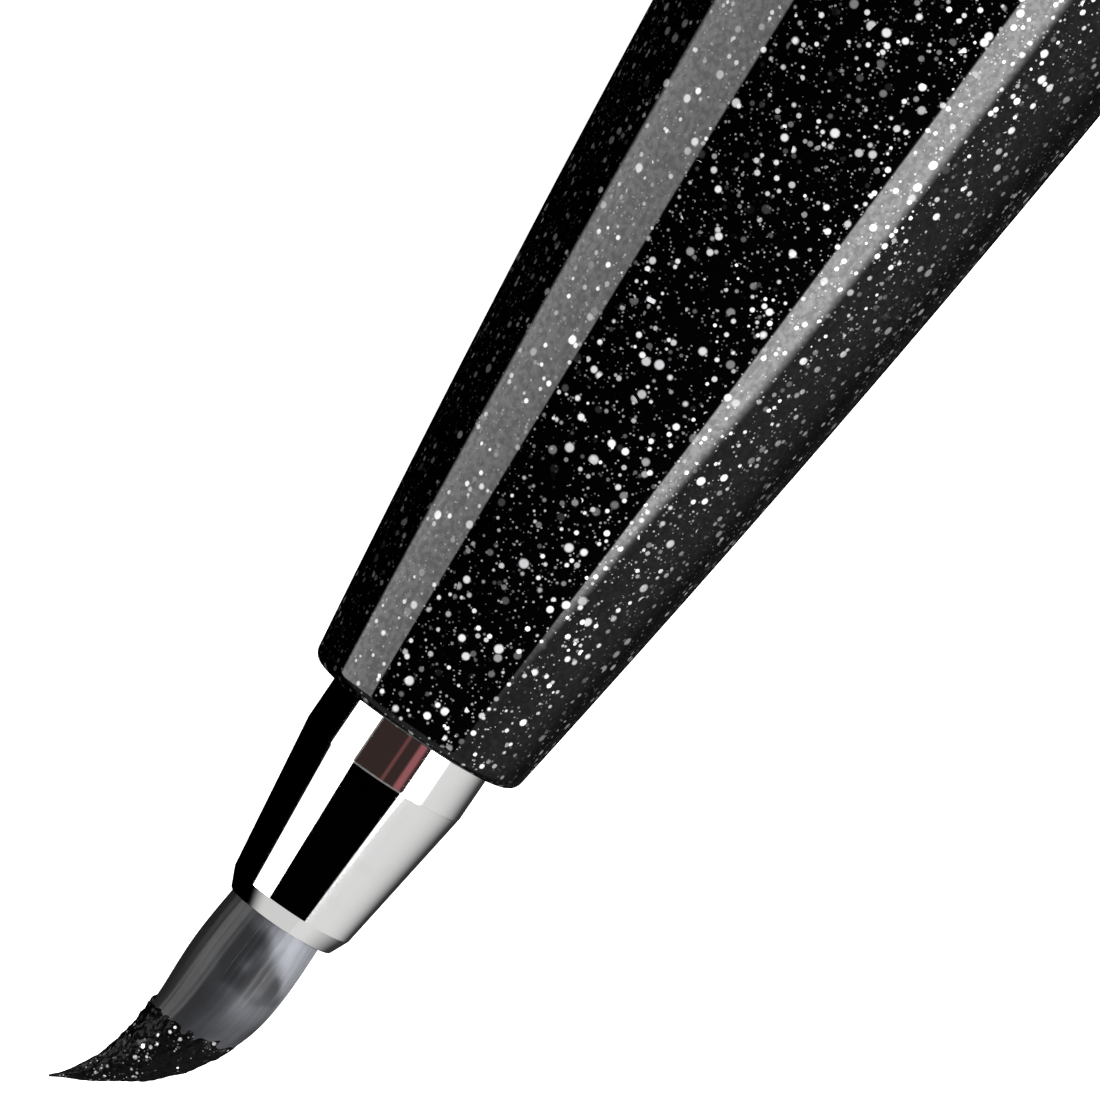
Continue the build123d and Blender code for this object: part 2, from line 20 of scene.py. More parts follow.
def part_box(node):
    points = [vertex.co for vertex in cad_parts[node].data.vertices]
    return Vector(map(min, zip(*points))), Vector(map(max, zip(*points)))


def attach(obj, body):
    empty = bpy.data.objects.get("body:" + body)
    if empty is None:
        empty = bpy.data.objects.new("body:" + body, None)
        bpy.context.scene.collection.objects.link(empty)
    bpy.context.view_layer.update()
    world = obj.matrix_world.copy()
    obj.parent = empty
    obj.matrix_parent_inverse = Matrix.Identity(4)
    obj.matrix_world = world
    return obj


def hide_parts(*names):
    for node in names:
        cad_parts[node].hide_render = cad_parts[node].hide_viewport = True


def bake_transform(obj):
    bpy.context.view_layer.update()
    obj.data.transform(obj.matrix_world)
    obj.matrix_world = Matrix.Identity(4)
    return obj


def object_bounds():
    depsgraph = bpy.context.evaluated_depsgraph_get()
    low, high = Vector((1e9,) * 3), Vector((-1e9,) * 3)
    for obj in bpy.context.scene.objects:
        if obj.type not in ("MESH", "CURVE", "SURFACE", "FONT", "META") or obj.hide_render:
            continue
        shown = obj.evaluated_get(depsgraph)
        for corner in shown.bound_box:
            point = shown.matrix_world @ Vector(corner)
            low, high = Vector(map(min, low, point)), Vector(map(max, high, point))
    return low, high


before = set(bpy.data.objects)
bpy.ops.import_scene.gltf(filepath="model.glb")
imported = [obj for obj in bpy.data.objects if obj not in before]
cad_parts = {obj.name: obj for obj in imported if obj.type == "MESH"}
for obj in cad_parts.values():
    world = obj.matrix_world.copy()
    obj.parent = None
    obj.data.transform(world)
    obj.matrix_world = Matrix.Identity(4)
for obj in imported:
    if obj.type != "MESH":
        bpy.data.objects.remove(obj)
cad_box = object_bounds()

MM = 0.001
COAT_IOR = 1.38
PURE_WHITE = (1.0, 1.0, 1.0, 1.0)
log = logging.getLogger("brush_pen")

Point = tuple[float, float]
Corner = tuple[float, float, float]
Color = tuple[float, float, float, float]


class Body(Enum):
    """The bodies that a piece can ride on."""

    PEN = "pen_body"
    BRUSH = "brush"
    BUTTON = "button"
    CAP = "cap"
    CLIP = "clip"


class Slot(Enum):
    """The material slots of the record."""

    GLITTER = "glitter_plastic"
    CHROME = "chrome"
    BRISTLE = "brush_fibre"
    CLEAR = "clear_plastic"
    RUBBER = "black_rubber"
    INNER = "inner_plastic"
    WHITE = "white_plastic"
    SEAL = "grey_seal_plastic"
    STEEL = "steel"


# ------------------------------------------------------------------------ shader maths
class Value:
    """A number in a shader that takes part in Python expressions."""

    def __init__(self, graph: "Graph", socket: bpy.types.NodeSocket) -> None:
        """Keep the graph that the number belongs to and the socket it comes out of."""
        self.graph = graph
        self.socket = socket

    def _math(self, operation: str, *terms: "Term") -> "Value":
        """Add a Math node for an operation on some terms."""
        sockets = dict(enumerate(terms))
        return self.graph.value("ShaderNodeMath", {"operation": operation}, sockets)

    def __add__(self, other: "Term") -> "Value":
        """Return self + other."""
        return self._math("ADD", self, other)

    def __radd__(self, other: "Term") -> "Value":
        """Return other + self."""
        return self._math("ADD", other, self)

    def __sub__(self, other: "Term") -> "Value":
        """Return self - other."""
        return self._math("SUBTRACT", self, other)

    def __rsub__(self, other: "Term") -> "Value":
        """Return other - self."""
        return self._math("SUBTRACT", other, self)

    def __mul__(self, other: "Term") -> "Value":
        """Return self * other."""
        return self._math("MULTIPLY", self, other)

    def __rmul__(self, other: "Term") -> "Value":
        """Return other * self."""
        return self._math("MULTIPLY", other, self)

    def __lt__(self, other: "Term") -> "Value":
        """Return 1 where self is below other, and 0 elsewhere."""
        return self._math("LESS_THAN", self, other)

    def above(self, other: "Term") -> "Value":
        """Return the larger of self and other at each point."""
        return self._math("MAXIMUM", self, other)

    def size(self) -> "Value":
        """Return the number without its sign."""
        return self._math("ABSOLUTE", self)

    def ramp(self, start: "Term", end: "Term") -> "Value":
        """Return a smooth step from 0 at start to 1 at end.

        Args:
            start: where the step leaves 0.
            end: where the step reaches 1.

        Returns:
            The step, as a number from 0 to 1.
        """
        settings = {"interpolation_type": "SMOOTHSTEP"}
        sockets = {"Value": self, "From Min": start, "From Max": end}
        return self.graph.value("ShaderNodeMapRange", settings, sockets)


Term = Union[Value, float]


class Graph:
    """One node tree, built up by small calls."""

    def __init__(self, tree: bpy.types.NodeTree) -> None:
        """Start from an empty tree."""
        self.tree = tree
        self.tree.nodes.clear()

    def node(
        self,
        kind: str,
        settings: Optional[dict[str, Any]] = None,
        sockets: Optional[dict[Union[str, int], Any]] = None,
    ) -> bpy.types.Node:
        """Add a node, give it its settings and then feed its sockets.

        Args:
            kind: the node's type name.
            settings: its properties.
            sockets: a value or a link for each input, by name or number.

        Returns:
            The new node.
        """
        made = self.tree.nodes.new(kind)
        for name, setting in (settings or {}).items():
            setattr(made, name, setting)
        for name, term in (sockets or {}).items():
            self.feed(made.inputs[name], term)
        return made

    def feed(self, socket: bpy.types.NodeSocket, term: Any) -> None:
        """Link a value to an input socket, or set the socket's own number."""
        if isinstance(term, Value):
            self.tree.links.new(term.socket, socket)
        else:
            socket.default_value = term

    def value(
        self,
        kind: str,
        settings: Optional[dict[str, Any]] = None,
        sockets: Optional[dict[Union[str, int], Any]] = None,
        output: Union[str, int] = 0,
    ) -> Value:
        """Add a node and return one of its outputs.

        Args:
            kind: the node's type name.
            settings: its properties.
            sockets: a value or a link for each input.
            output: the output's name or number.

        Returns:
            That output, ready for expressions.
        """
        made = self.node(kind, settings, sockets)
        return Value(self, made.outputs[output])

    def place(self) -> Value:
        """Return the point on the object, in metres."""
        return self.value("ShaderNodeTexCoord", output="Object")

    def parts(self, vector: Value) -> tuple[Value, Value, Value]:
        """Return a vector's three numbers."""
        made = self.node("ShaderNodeSeparateXYZ", None, {0: vector})
        return tuple(Value(self, socket) for socket in made.outputs)

    def vector(self, operation: str, first: Any, second: Any = None) -> Value:
        """Return a Vector Math operation on one or two vectors."""
        sockets = {0: first} if second is None else {0: first, 1: second}
        return self.value("ShaderNodeVectorMath", {"operation": operation}, sockets)

    def scaled(self, vector: Any, factor: Term) -> Value:
        """Return a vector times a number."""
        sockets = {0: vector, "Scale": factor}
        return self.value("ShaderNodeVectorMath", {"operation": "SCALE"}, sockets)

    def blend(self, factor: Term, first: Any, second: Any) -> Value:
        """Return a colour between two colours."""
        settings = {"data_type": "RGBA"}
        return self.value("ShaderNodeMix", settings, {0: factor, 6: first, 7: second}, 2)

    def grain(self, place: Value, pitch: float, detail: float = 2.0) -> Value:
        """Return soft noise from 0 to 1 whose features are about pitch mm apart."""
        sockets = {"Vector": place, "Scale": 1 / (pitch * MM), "Detail": detail}
        return self.value("ShaderNodeTexNoise", None, sockets)

    def bump(self, height: Value, depth: float, strength: float = 1.0) -> Value:
        """Return a normal that follows a height of depth millimetres."""
        sockets = {"Strength": strength, "Distance": depth * MM, "Height": height}
        return self.value("ShaderNodeBump", None, sockets)


# ---------------------------------------------------------------------------- finishes
@dataclass(frozen=True)
class Finish:
    """What every finish shares: its name, and how it is painted once and reused."""

    name: str

    def material(self) -> bpy.types.Material:
        """Return the finish's material, painted on first use."""
        found = bpy.data.materials.get(self.name)
        if found is not None:
            return found
        made = bpy.data.materials.new(self.name)
        made.use_nodes = True
        graph = Graph(made.node_tree)
        surface = graph.value("ShaderNodeBsdfPrincipled", None, self.surface(graph))
        graph.node("ShaderNodeOutputMaterial", None, {"Surface": surface})
        return made

    def surface(self, graph: Graph) -> dict[str, Any]:
        """Return what feeds each socket of the surface shader."""
        raise NotImplementedError


@dataclass(frozen=True)
class FlakeLayer:
    """One size of glitter flake.

    Args:
        cell: millimetres between flakes.
        reach: a flake's half width as a share of the cell.
        share: how many cells hold a flake, from 0 to 1.
        tilt: how far a flake may lean away from the surface.
        shine: how much of its colour a flake gives back, from 0 to 1.
        rim: where a flake fades out, in half widths.
        crowd_pitch: millimetres between places where the flakes lie closer.
        crowding: the least of the share there is, and how much more there can be.
        sparkle: the draws between which a flake goes from dull to bright.
    """

    cell: float
    reach: float
    share: float
    tilt: float
    shine: float
    rim: tuple[float, float] = (0.7, 1.2)
    crowd_pitch: float = 1.1
    crowding: tuple[float, float] = (0.55, 0.9)
    sparkle: tuple[float, float] = (0.2, 0.95)

    def paint(self, graph: Graph, place: Value) -> tuple[Value, Value]:
        """Return where the flakes are, and how each of them leans."""
        sockets = {"Vector": place, "Scale": 1 / (self.cell * MM)}
        cells = graph.node("ShaderNodeTexVoronoi", None, sockets)
        distance = Value(graph, cells.outputs["Distance"])
        lot = Value(graph, cells.outputs["Color"])
        chance, width, bright = graph.parts(lot)
        reach = self.reach * (0.5 + 0.5 * width)
        full, gone = self.rim
        inside = 1 - distance.ramp(full * reach, gone * reach)
        least, more = self.crowding
        crowd = self.share * (least + more * graph.grain(place, self.crowd_pitch))
        mask = inside * (chance < crowd)
        lean = graph.vector("SUBTRACT", lot, (0.5 * self.share, 0.5, 0.5))
        cover = mask * self.shine * bright.ramp(*self.sparkle)
        return cover, graph.scaled(lean, mask * 2 * self.tilt)


def scatter(graph: Graph, place: Value, flakes: Sequence[FlakeLayer]) -> tuple[Value, Value]:
    """Lay several sizes of flake over each other.

    Args:
        graph: the finish's nodes.
        place: the point on the object.
        flakes: the sizes of flake.

    Returns:
        How bright the flakes are at each point, and how they lean there.
    """
    cover, lean = None, None
    for layer in flakes:
        mask, tilt = layer.paint(graph, place)
        cover = mask if cover is None else cover.above(mask)
        lean = tilt if lean is None else graph.vector("ADD", lean, tilt)
    return cover, lean


@dataclass(frozen=True)
class GlitterPlastic(Finish):
    """Black gloss plastic with silver flakes under a clear surface.

    Args:
        flakes: its sizes of flake.
        base: how dark the plastic between them is.
        flake_roughness: how dull a flake is.
        flake_metal: how metallic a flake is.
        flank_share: how much of the flakes' painted light is left on the pen's flanks.
        flank_edge: how far the surface faces up or down where the flakes' full painted light sets in.
        coat: the clear surface's least weight, and what its grain and handling add.
        gloss: how rough the clear surface is.
        silver: the flakes' colour.
    """

    flakes: tuple[FlakeLayer, ...]
    base: float = 0.0006
    flake_roughness: float = 0.34
    flake_metal: float = 0.16
    flank_share: float = 0.14
    flank_edge: tuple[float, float] = (0.58, 0.8)
    coat: tuple[float, float, float] = (0.62, 0.32, 0.06)
    gloss: float = 0.03
    silver: Color = (0.93, 0.93, 0.95, 1.0)

    def surface(self, graph: Graph) -> dict[str, Any]:
        """Return black between the flakes and silver on them, under a clear coat."""
        place = graph.place()
        normal = graph.value("ShaderNodeNewGeometry", output="Normal")
        cover, lean = scatter(graph, place, self.flakes)
        # Painted light: the flakes are painted bright where the surface faces up or down and dim on
        # the flanks, in place of light falling from above.
        lit_facing = graph.parts(normal)[2].size().ramp(*self.flank_edge)
        cover = cover * (self.flank_share + (1 - self.flank_share) * lit_facing)
        leaning = graph.vector("NORMALIZE", graph.vector("ADD", normal, lean))
        black = (self.base, self.base, 1.1 * self.base, 1.0)
        handled = graph.grain(place, 1.7)
        dust = graph.grain(place, 0.16).ramp(0.34, 0.66)
        least, dusty, worn = self.coat
        return {
            "Base Color": graph.blend(cover, black, self.silver),
            "Metallic": cover * self.flake_metal,
            "Roughness": self.flake_roughness + 0.12 * handled,
            "Normal": leaning,
            "Specular IOR Level": 0.0,
            "Coat Weight": least + dusty * dust + worn * handled,
            "Coat Roughness": self.gloss,
            "Coat IOR": COAT_IOR,
        }


@dataclass(frozen=True)
class WetInk(Finish):
    """Wet black ink, thick with glitter, in a glossy lumpy skin.

    Args:
        flakes: its sizes of flake.
        base: how dark the ink is.
        wrinkle_pitch: millimetres between its wrinkles.
        wrinkle_depth: their depth in millimetres.
        patch_pitch: millimetres between the patches where its flakes gather.
        patch_edge: the noise between which such a patch sets in.
        lit_facing_edge: how far the skin faces up where its flakes set in; the flakes are painted
            light, shown only where the skin faces up.
        silver: the flakes' colour.
    """

    flakes: tuple[FlakeLayer, ...]
    base: float = 0.0025
    wrinkle_pitch: float = 0.2
    wrinkle_depth: float = 0.06
    patch_pitch: float = 0.6
    patch_edge: tuple[float, float] = (0.44, 0.54)
    lit_facing_edge: tuple[float, float] = (0.35, 0.7)
    silver: Color = (0.95, 0.95, 0.95, 1.0)

    def surface(self, graph: Graph) -> dict[str, Any]:
        """Return wet black with flakes whose skin wrinkles at two scales."""
        place = graph.place()
        cover, lean = scatter(graph, place, self.flakes)
        wrinkles = graph.grain(place, self.wrinkle_pitch, 3.0)
        skin = graph.bump(wrinkles, self.wrinkle_depth)
        patches = graph.grain(place, self.patch_pitch, 1.0).ramp(*self.patch_edge)
        # Painted light: flakes are shown only where the wrinkled skin faces up, as if lit from above;
        # the lower skin is left plain black.
        lit_facing = graph.parts(skin)[2].ramp(*self.lit_facing_edge)
        cover = cover * patches * lit_facing
        black = (self.base, self.base, self.base, 1.0)
        return {
            "Base Color": graph.blend(cover, black, self.silver),
            "Metallic": cover * 0.5,
            "Roughness": 0.1 + 0.14 * wrinkles,
            "Normal": graph.vector("NORMALIZE", graph.vector("ADD", skin, lean)),
            "Specular IOR Level": 0.05,
        }


@dataclass(frozen=True)
class WetBristle(Finish):
    """A wet bundle of fine filaments, stained by ink away from the root, with painted shade on its +Y
    side and painted light on its -Y side.

    Args:
        dark: its colour where ink has soaked in, and in the painted shade on the +Y side.
        grey: its colour where it is clear.
        pale: its colour where it is milky, shown only towards the -Y side as painted light.
        side_shade_edge: how far to the inner side of the bend the painted shade sets in.
        soak: the millimetres along the tuft between which ink sets in.
        lit_side_edge: how far from the inner side the milky tone's painted light sets in.
        far_edge: how far to the outer side the painted light is dimmed again, as painted shade at that
            rim.
        milk_clouds: the noise between which milky clouds set in.
        ink_clouds: the noise between which ink clouds set in.
    """

    dark: Color = (0.004, 0.004, 0.005, 1.0)
    grey: Color = (0.062, 0.064, 0.070, 1.0)
    pale: Color = (0.21, 0.216, 0.24, 1.0)
    side_shade_edge: tuple[float, float] = (0.3, 0.85)
    soak: tuple[float, float] = (1.0, 3.3)
    lit_side_edge: tuple[float, float] = (-0.25, 0.55)
    far_edge: tuple[float, float] = (0.62, 0.98)
    milk_clouds: tuple[float, float] = (0.3, 0.62)
    ink_clouds: tuple[float, float] = (0.62, 0.36)

    def surface(self, graph: Graph) -> dict[str, Any]:
        """Return streaks along the filaments, clouded by the ink between them."""
        strand = graph.value("ShaderNodeAttribute", {"attribute_name": "strand"}, output="Vector")
        up, side, along = graph.parts(strand)
        fine = graph.vector("MULTIPLY", strand, (6.0, 6.0, 0.35))
        broad = graph.vector("MULTIPLY", strand, (0.9, 0.9, 0.55))
        streaks = graph.value("ShaderNodeTexNoise", None, {"Vector": fine, "Scale": 2.0})
        soft = {"Vector": broad, "Scale": 1.4, "Detail": 1.0}
        clouds = graph.value("ShaderNodeTexNoise", None, soft)
        # Painted shade: the tuft is painted dark towards its +Y side, the inside of the bend, whatever
        # the light.
        painted_side_shade = side.ramp(*self.side_shade_edge)
        inked = along.ramp(*self.soak)
        # Partly painted light: the milky clouds are the filaments' own tone, but they are shown only
        # towards the -Y side, where the key light falls, and dimmed again at the far -Y rim as painted
        # shade.
        edge = 1 - 0.6 * (0.0 - side).ramp(*self.far_edge)
        milky = (0.1 - side).ramp(*self.lit_side_edge) * clouds.ramp(*self.milk_clouds) * edge
        body = graph.blend(milky, self.grey, self.pale)
        murk = (clouds.ramp(*self.ink_clouds) * 0.75).above(inked * 0.8)
        clouded = graph.blend(murk, body, self.dark)
        side_shaded = graph.blend(painted_side_shade, clouded, self.dark)
        tone = graph.blend(streaks.ramp(0.4, 0.8) * 0.25, side_shaded, self.dark)
        return {
            "Base Color": tone,
            "Roughness": 0.45 + 0.2 * streaks,
            "Normal": graph.bump(streaks, 0.004),
            "Specular IOR Level": 0.2,
            "Coat Weight": 0.2 + 0.1 * up,
            "Coat Roughness": 0.24,
            "Coat IOR": COAT_IOR,
        }


@dataclass(frozen=True)
class Chrome(Finish):
    """Bright plating with the fine marks of polishing and handling.

    Args:
        tone: its colour.
        roughness: how dull it is.
        swing: how far its normals turn to the sides, as a share of their Y.
        flank_edge: how far to the -Y side that turn fades.
        flank_return: how much of it the far side turns back.
    """

    tone: Color = (0.94, 0.935, 0.93, 1.0)
    roughness: float = 0.035
    swing: float = 0.0
    flank_edge: tuple[float, float] = (0.25, 0.95)
    flank_return: float = 1.8

    def surface(self, graph: Graph) -> dict[str, Any]:
        """Return a mirror with faint rings of polish and a few dull touches."""
        place = graph.place()
        drawn = graph.vector("MULTIPLY", place, (9.0, 1.0, 1.0))
        rings = graph.grain(drawn, 0.9, 3.0)
        touches = graph.grain(place, 1.3)
        worn = (0.88, 0.875, 0.87, 1.0)
        return {
            "Base Color": graph.blend(touches.ramp(0.5, 0.9), self.tone, worn),
            "Metallic": 1.0,
            "Roughness": self.roughness + 0.03 * touches,
            "Normal": self.swung(graph, graph.bump(rings, 0.0004)),
        }

    def swung(self, graph: Graph, normal: Value) -> Value:
        """Return normals turned away from the XZ plane, as on a slightly flattened surface."""
        side = graph.parts(normal)[1]
        flank = (0.0 - side).ramp(*self.flank_edge)
        sidewise = graph.vector("MULTIPLY", normal, (0.0, 1.0, 0.0))
        moved = graph.scaled(sidewise, self.swing * (1 - self.flank_return * flank))
        return graph.vector("NORMALIZE", graph.vector("ADD", normal, moved))


@dataclass(frozen=True)
class Moulded(Finish):
    """Plain moulded plastic or rubber with a fine spark texture.

    Args:
        tone: its colour.
        roughness: how dull it is.
        pitch: millimetres between the grains of its texture.
        depth: the height of those grains in millimetres.
    """

    tone: Color
    roughness: float
    pitch: float = 0.12
    depth: float = 0.004

    def surface(self, graph: Graph) -> dict[str, Any]:
        """Return the colour, a little uneven, with the mould's grain in it."""
        place = graph.place()
        grain = graph.grain(place, self.pitch)
        flow = graph.grain(place, 6.0)
        shade = tuple(0.82 * part for part in self.tone[:3]) + (1.0,)
        return {
            "Base Color": graph.blend(flow, shade, self.tone),
            "Roughness": self.roughness - 0.06 + 0.12 * flow,
            "Normal": graph.bump(grain, self.depth),
        }


@dataclass(frozen=True)
class DrawnSteel(Finish):
    """Steel wire or a rolled ball, with fine lines and small dull spots."""

    tone: Color = (0.62, 0.62, 0.61, 1.0)

    def surface(self, graph: Graph) -> dict[str, Any]:
        """Return steel with drawing lines and slightly dull spots."""
        place = graph.place()
        lines = graph.grain(place, 0.05, 3.0)
        spots = graph.grain(place, 0.6)
        dull = (0.45, 0.44, 0.43, 1.0)
        return {
            "Base Color": graph.blend(spots.ramp(0.45, 0.8), self.tone, dull),
            "Metallic": 1.0,
            "Roughness": 0.18 + 0.2 * spots,
            "Normal": graph.bump(lines, 0.001),
        }


@dataclass(frozen=True)
class ClearPlastic(Finish):
    """Clear moulded tube, faintly hazed."""

    tone: Color = (0.86, 0.88, 0.89, 1.0)

    def surface(self, graph: Graph) -> dict[str, Any]:
        """Return clear plastic with flow haze."""
        place = graph.place()
        haze = graph.grain(place, 1.5)
        return {
            "Base Color": self.tone,
            "Roughness": 0.05 + 0.12 * haze,
            "Normal": graph.bump(haze, 0.004),
            "Transmission Weight": 0.9,
            "IOR": 1.49,
        }


@dataclass(frozen=True)
class PaleTable(Finish):
    """A plain white table that hardly shows a shadow."""

    glow: float = 0.97
    dim: Color = (0.80, 0.80, 0.80, 1.0)
    pale: Color = (0.82, 0.82, 0.82, 1.0)

    def surface(self, graph: Graph) -> dict[str, Any]:
        """Return near-white, with a little light of its own."""
        paper = graph.grain(graph.place(), 3.0)
        return {
            "Base Color": graph.blend(paper, self.dim, self.pale),
            "Roughness": 0.9,
            "Specular IOR Level": 0.0,
            "Emission Color": PURE_WHITE,
            "Emission Strength": self.glow,
        }


BARREL_FLAKES = (
    FlakeLayer(cell=0.38, reach=0.36, share=0.62, tilt=0.34, shine=1.0),
    FlakeLayer(cell=0.24, reach=0.36, share=0.55, tilt=0.32, shine=0.95),
    FlakeLayer(cell=0.10, reach=0.42, share=0.42, tilt=0.16, shine=0.32),
)
INK_FLAKES = (
    FlakeLayer(cell=0.17, reach=0.42, share=0.5, tilt=0.6, shine=1.0),
    FlakeLayer(cell=0.08, reach=0.38, share=0.4, tilt=0.5, shine=0.5),
)
GLITTER = GlitterPlastic("glitter_plastic_finish", BARREL_FLAKES)
INK = WetInk("wet_glitter_ink", INK_FLAKES)
BRISTLE = WetBristle("wet_bristle")
CHROME = Chrome("chrome_plate")
FERRULE = Chrome("ferrule_plate", swing=0.38)
RUBBER = Moulded("seal_rubber", (0.018, 0.018, 0.018, 1.0), 0.62, 0.08, 0.003)
INNER = Moulded("inner_black_plastic", (0.05, 0.05, 0.055, 1.0), 0.42)
WHITE = Moulded("white_acetal", (0.78, 0.78, 0.75, 1.0), 0.34, 0.1, 0.002)
SEAL_GREY = Moulded("grey_seal_finish", (0.42, 0.43, 0.45, 1.0), 0.46, 0.15, 0.003)
ROOT = Moulded("bonded_bristle_root", (0.22, 0.22, 0.24, 1.0), 0.5, 0.09, 0.01)
STEEL = DrawnSteel("drawn_steel")
CLEAR = ClearPlastic("clear_tube")
TABLE = PaleTable("pale_table")


# ------------------------------------------------------------------------- mesh makers
def to_mesh(name: str, points: np.ndarray, faces: Sequence[Sequence[int]]) -> bpy.types.Mesh:
    """Make a smooth mesh from points in millimetres.

    Args:
        name: the mesh's name.
        points: one row of x, y, z for each vertex.
        faces: the vertex numbers of each face.

    Returns:
        The mesh, in metres.
    """
    mesh = bpy.data.meshes.new(name)
    mesh.from_pydata((points * MM).tolist(), [], faces)
    mesh.polygons.foreach_set("use_smooth", [True] * len(mesh.polygons))
    mesh.update()
    return mesh


def weight_normals(mesh: bpy.types.Mesh) -> None:
    """Let large faces decide the shading, so that flats stay flat beside small rounds."""
    corners = np.zeros(len(mesh.loops), int)
    mesh.loops.foreach_get("vertex_index", corners)
    totals = np.zeros(len(mesh.polygons), int)
    mesh.polygons.foreach_get("loop_total", totals)
    areas = np.zeros(len(mesh.polygons))
    mesh.polygons.foreach_get("area", areas)
    normals = np.zeros(3 * len(mesh.polygons))
    mesh.polygons.foreach_get("normal", normals)
    weighted = normals.reshape(-1, 3) * areas[:, None]
    summed = np.zeros((len(mesh.vertices), 3))
    np.add.at(summed, corners, np.repeat(weighted, totals, axis=0))
    lengths = np.linalg.norm(summed, axis=1, keepdims=True)
    mesh.normals_split_custom_set_from_vertices((summed / np.maximum(lengths, 1e-20)).tolist())


def add_piece(
    mesh: bpy.types.Mesh, finish: Finish, slot: Slot, body: Optional[Body], *nodes: str
) -> bpy.types.Object:
    """Put a mesh in the scene as a piece of the pen.

    Args:
        mesh: its shape.
        finish: what it is made of.
        slot: the record's material slot that the finish belongs to; not used.
        body: the body it rides on, or None to leave it unattached.
        nodes: the CAD nodes it stands for.

    Returns:
        The new object.
    """
    piece = bpy.data.objects.new(mesh.name, mesh)
    bpy.context.scene.collection.objects.link(piece)
    mesh.materials.append(finish.material())
    if body is not None:
        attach(piece, body.value)
    if nodes:
        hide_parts(*nodes)
    log.info("%s: %d faces, %s", piece.name, len(mesh.polygons), finish.name)
    return piece


def dress(finish: Finish, *nodes: str) -> None:
    """Give CAD nodes that stay as they are a finish."""
    for node in nodes:
        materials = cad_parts[node].data.materials
        materials.clear()
        materials.append(finish.material())
        log.info("%s: CAD shape, %s", node, finish.name)


@lru_cache(maxsize=None)
def span(node: str) -> tuple[float, float, float]:
    """Return where a turned CAD node starts and ends along X, and its outer radius, in mm."""
    low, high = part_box(node)
    return low.x / MM, high.x / MM, high.z / MM


def soften(corners: Sequence[Corner], closed: bool, steps: int = 6) -> list[Point]:
    """Round the corners of an outline.

    Args:
        corners: each corner's two coordinates and the radius of its rounding.
        closed: whether the last corner joins the first.
        steps: how many lines make each round.

    Returns:
        The outline's points.
    """
    points: list[Point] = []
    last = len(corners) - 1
    for index, (x, y, radius) in enumerate(corners):
        if radius <= 0 or (not closed and index in (0, last)):
            points.append((x, y))
            continue
        corner = Vector((x, y))
        before = Vector(corners[index - 1][:2]) - corner
        after = Vector(corners[(index + 1) % len(corners)][:2]) - corner
        half = before.angle(after) / 2
        reach = min(radius / math.tan(half), 0.48 * before.length, 0.48 * after.length)
        start = corner + before.normalized() * reach
        end = corner + after.normalized() * reach
        bisector = (before.normalized() + after.normalized()).normalized()
        centre = corner + bisector * (reach / math.cos(half))
        first, turn = start - centre, (start - centre).angle_signed(end - centre)
        for step in range(steps + 1):
            spoke = first.copy()
            spoke.rotate(Matrix.Rotation(-turn * step / steps, 2))
            points.append(tuple(centre + spoke))
    return points


@dataclass(frozen=True)
class Turning:
    """A piece turned about the pen's axis.

    Args:
        name: the piece's name.
        corners: its closed outline, as x, radius and the rounding of that corner.
        around: how many faces go round it.
    """

    name: str
    corners: tuple[Corner, ...]
    around: int = 192

    def mesh(self) -> bpy.types.Mesh:
        """Turn the outline into a mesh."""
        profile = soften(self.corners, closed=True)
        pairs = list(zip(profile, profile[1:] + profile[:1]))
        if sum(a[0] * b[1] - b[0] * a[1] for a, b in pairs) < 0:
            profile.reverse()
        angles = np.linspace(0, 2 * math.pi, self.around, endpoint=False)
        points: list[np.ndarray] = []
        rows: list[np.ndarray] = []
        for x, radius in profile:
            count = self.around if radius > 0 else 1
            ring = np.zeros((count, 3))
            ring[:, 0] = x
            if radius > 0:
                ring[:, 1] = radius * np.sin(angles)
                ring[:, 2] = -radius * np.cos(angles)
            first = sum(len(made) for made in points)
            rows.append(first + np.arange(self.around) % count)
            points.append(ring)
        faces: list[tuple[int, ...]] = []
        for here, there in zip(rows, rows[1:] + rows[:1]):
            for k in range(self.around):
                beside = (k + 1) % self.around
                loop = dict.fromkeys((here[k], there[k], there[beside], here[beside]))
                if len(loop) > 2:
                    faces.append(tuple(int(v) for v in loop))
        mesh = to_mesh(self.name, np.vstack(points), faces)
        weight_normals(mesh)
        return mesh


def skin(rings: np.ndarray) -> tuple[np.ndarray, list[tuple[int, ...]]]:
    """Join rings of points into one closed skin.

    Args:
        rings: an array of ring, point in the ring, and x y z.

    Returns:
        The points and the faces.
    """
    count, around, _ = rings.shape
    ends = np.vstack((rings[0].mean(0), rings[-1].mean(0)))
    points = np.vstack((rings.reshape(-1, 3), ends))
    first, last = count * around, count * around + 1
    faces: list[tuple[int, ...]] = []
    for i in range(count - 1):
        for k in range(around):
            beside = (k + 1) % around
            here, there = i * around, (i + 1) * around
            faces.append((here + k, here + beside, there + beside, there + k))
    for k in range(around):
        beside = (k + 1) % around
        end = (count - 1) * around
        faces.append((first, beside, k))
        faces.append((last, end + k, end + beside))
    return points, faces


def tube(line: np.ndarray, radii: np.ndarray, sides: int) -> np.ndarray:
    """Return the rings of a tube along a line, for skin().

    Args:
        line: the points of its centre line.
        radii: its radius at each of them.
        sides: how many points make a ring.

    Returns:
        The rings.
    """
    heading = np.gradient(line, axis=0)
    heading /= np.linalg.norm(heading, axis=1, keepdims=True)
    across = np.cross(heading, np.array((0.31, 0.17, 0.94)))
    across /= np.linalg.norm(across, axis=1, keepdims=True)
    over = np.cross(heading, across)
    angles = np.linspace(0, 2 * math.pi, sides, endpoint=False)
    spokes = np.cos(angles)[None, :, None] * across[:, None]
    spokes = spokes + np.sin(angles)[None, :, None] * over[:, None]
    return line[:, None] + spokes * radii[:, None, None]


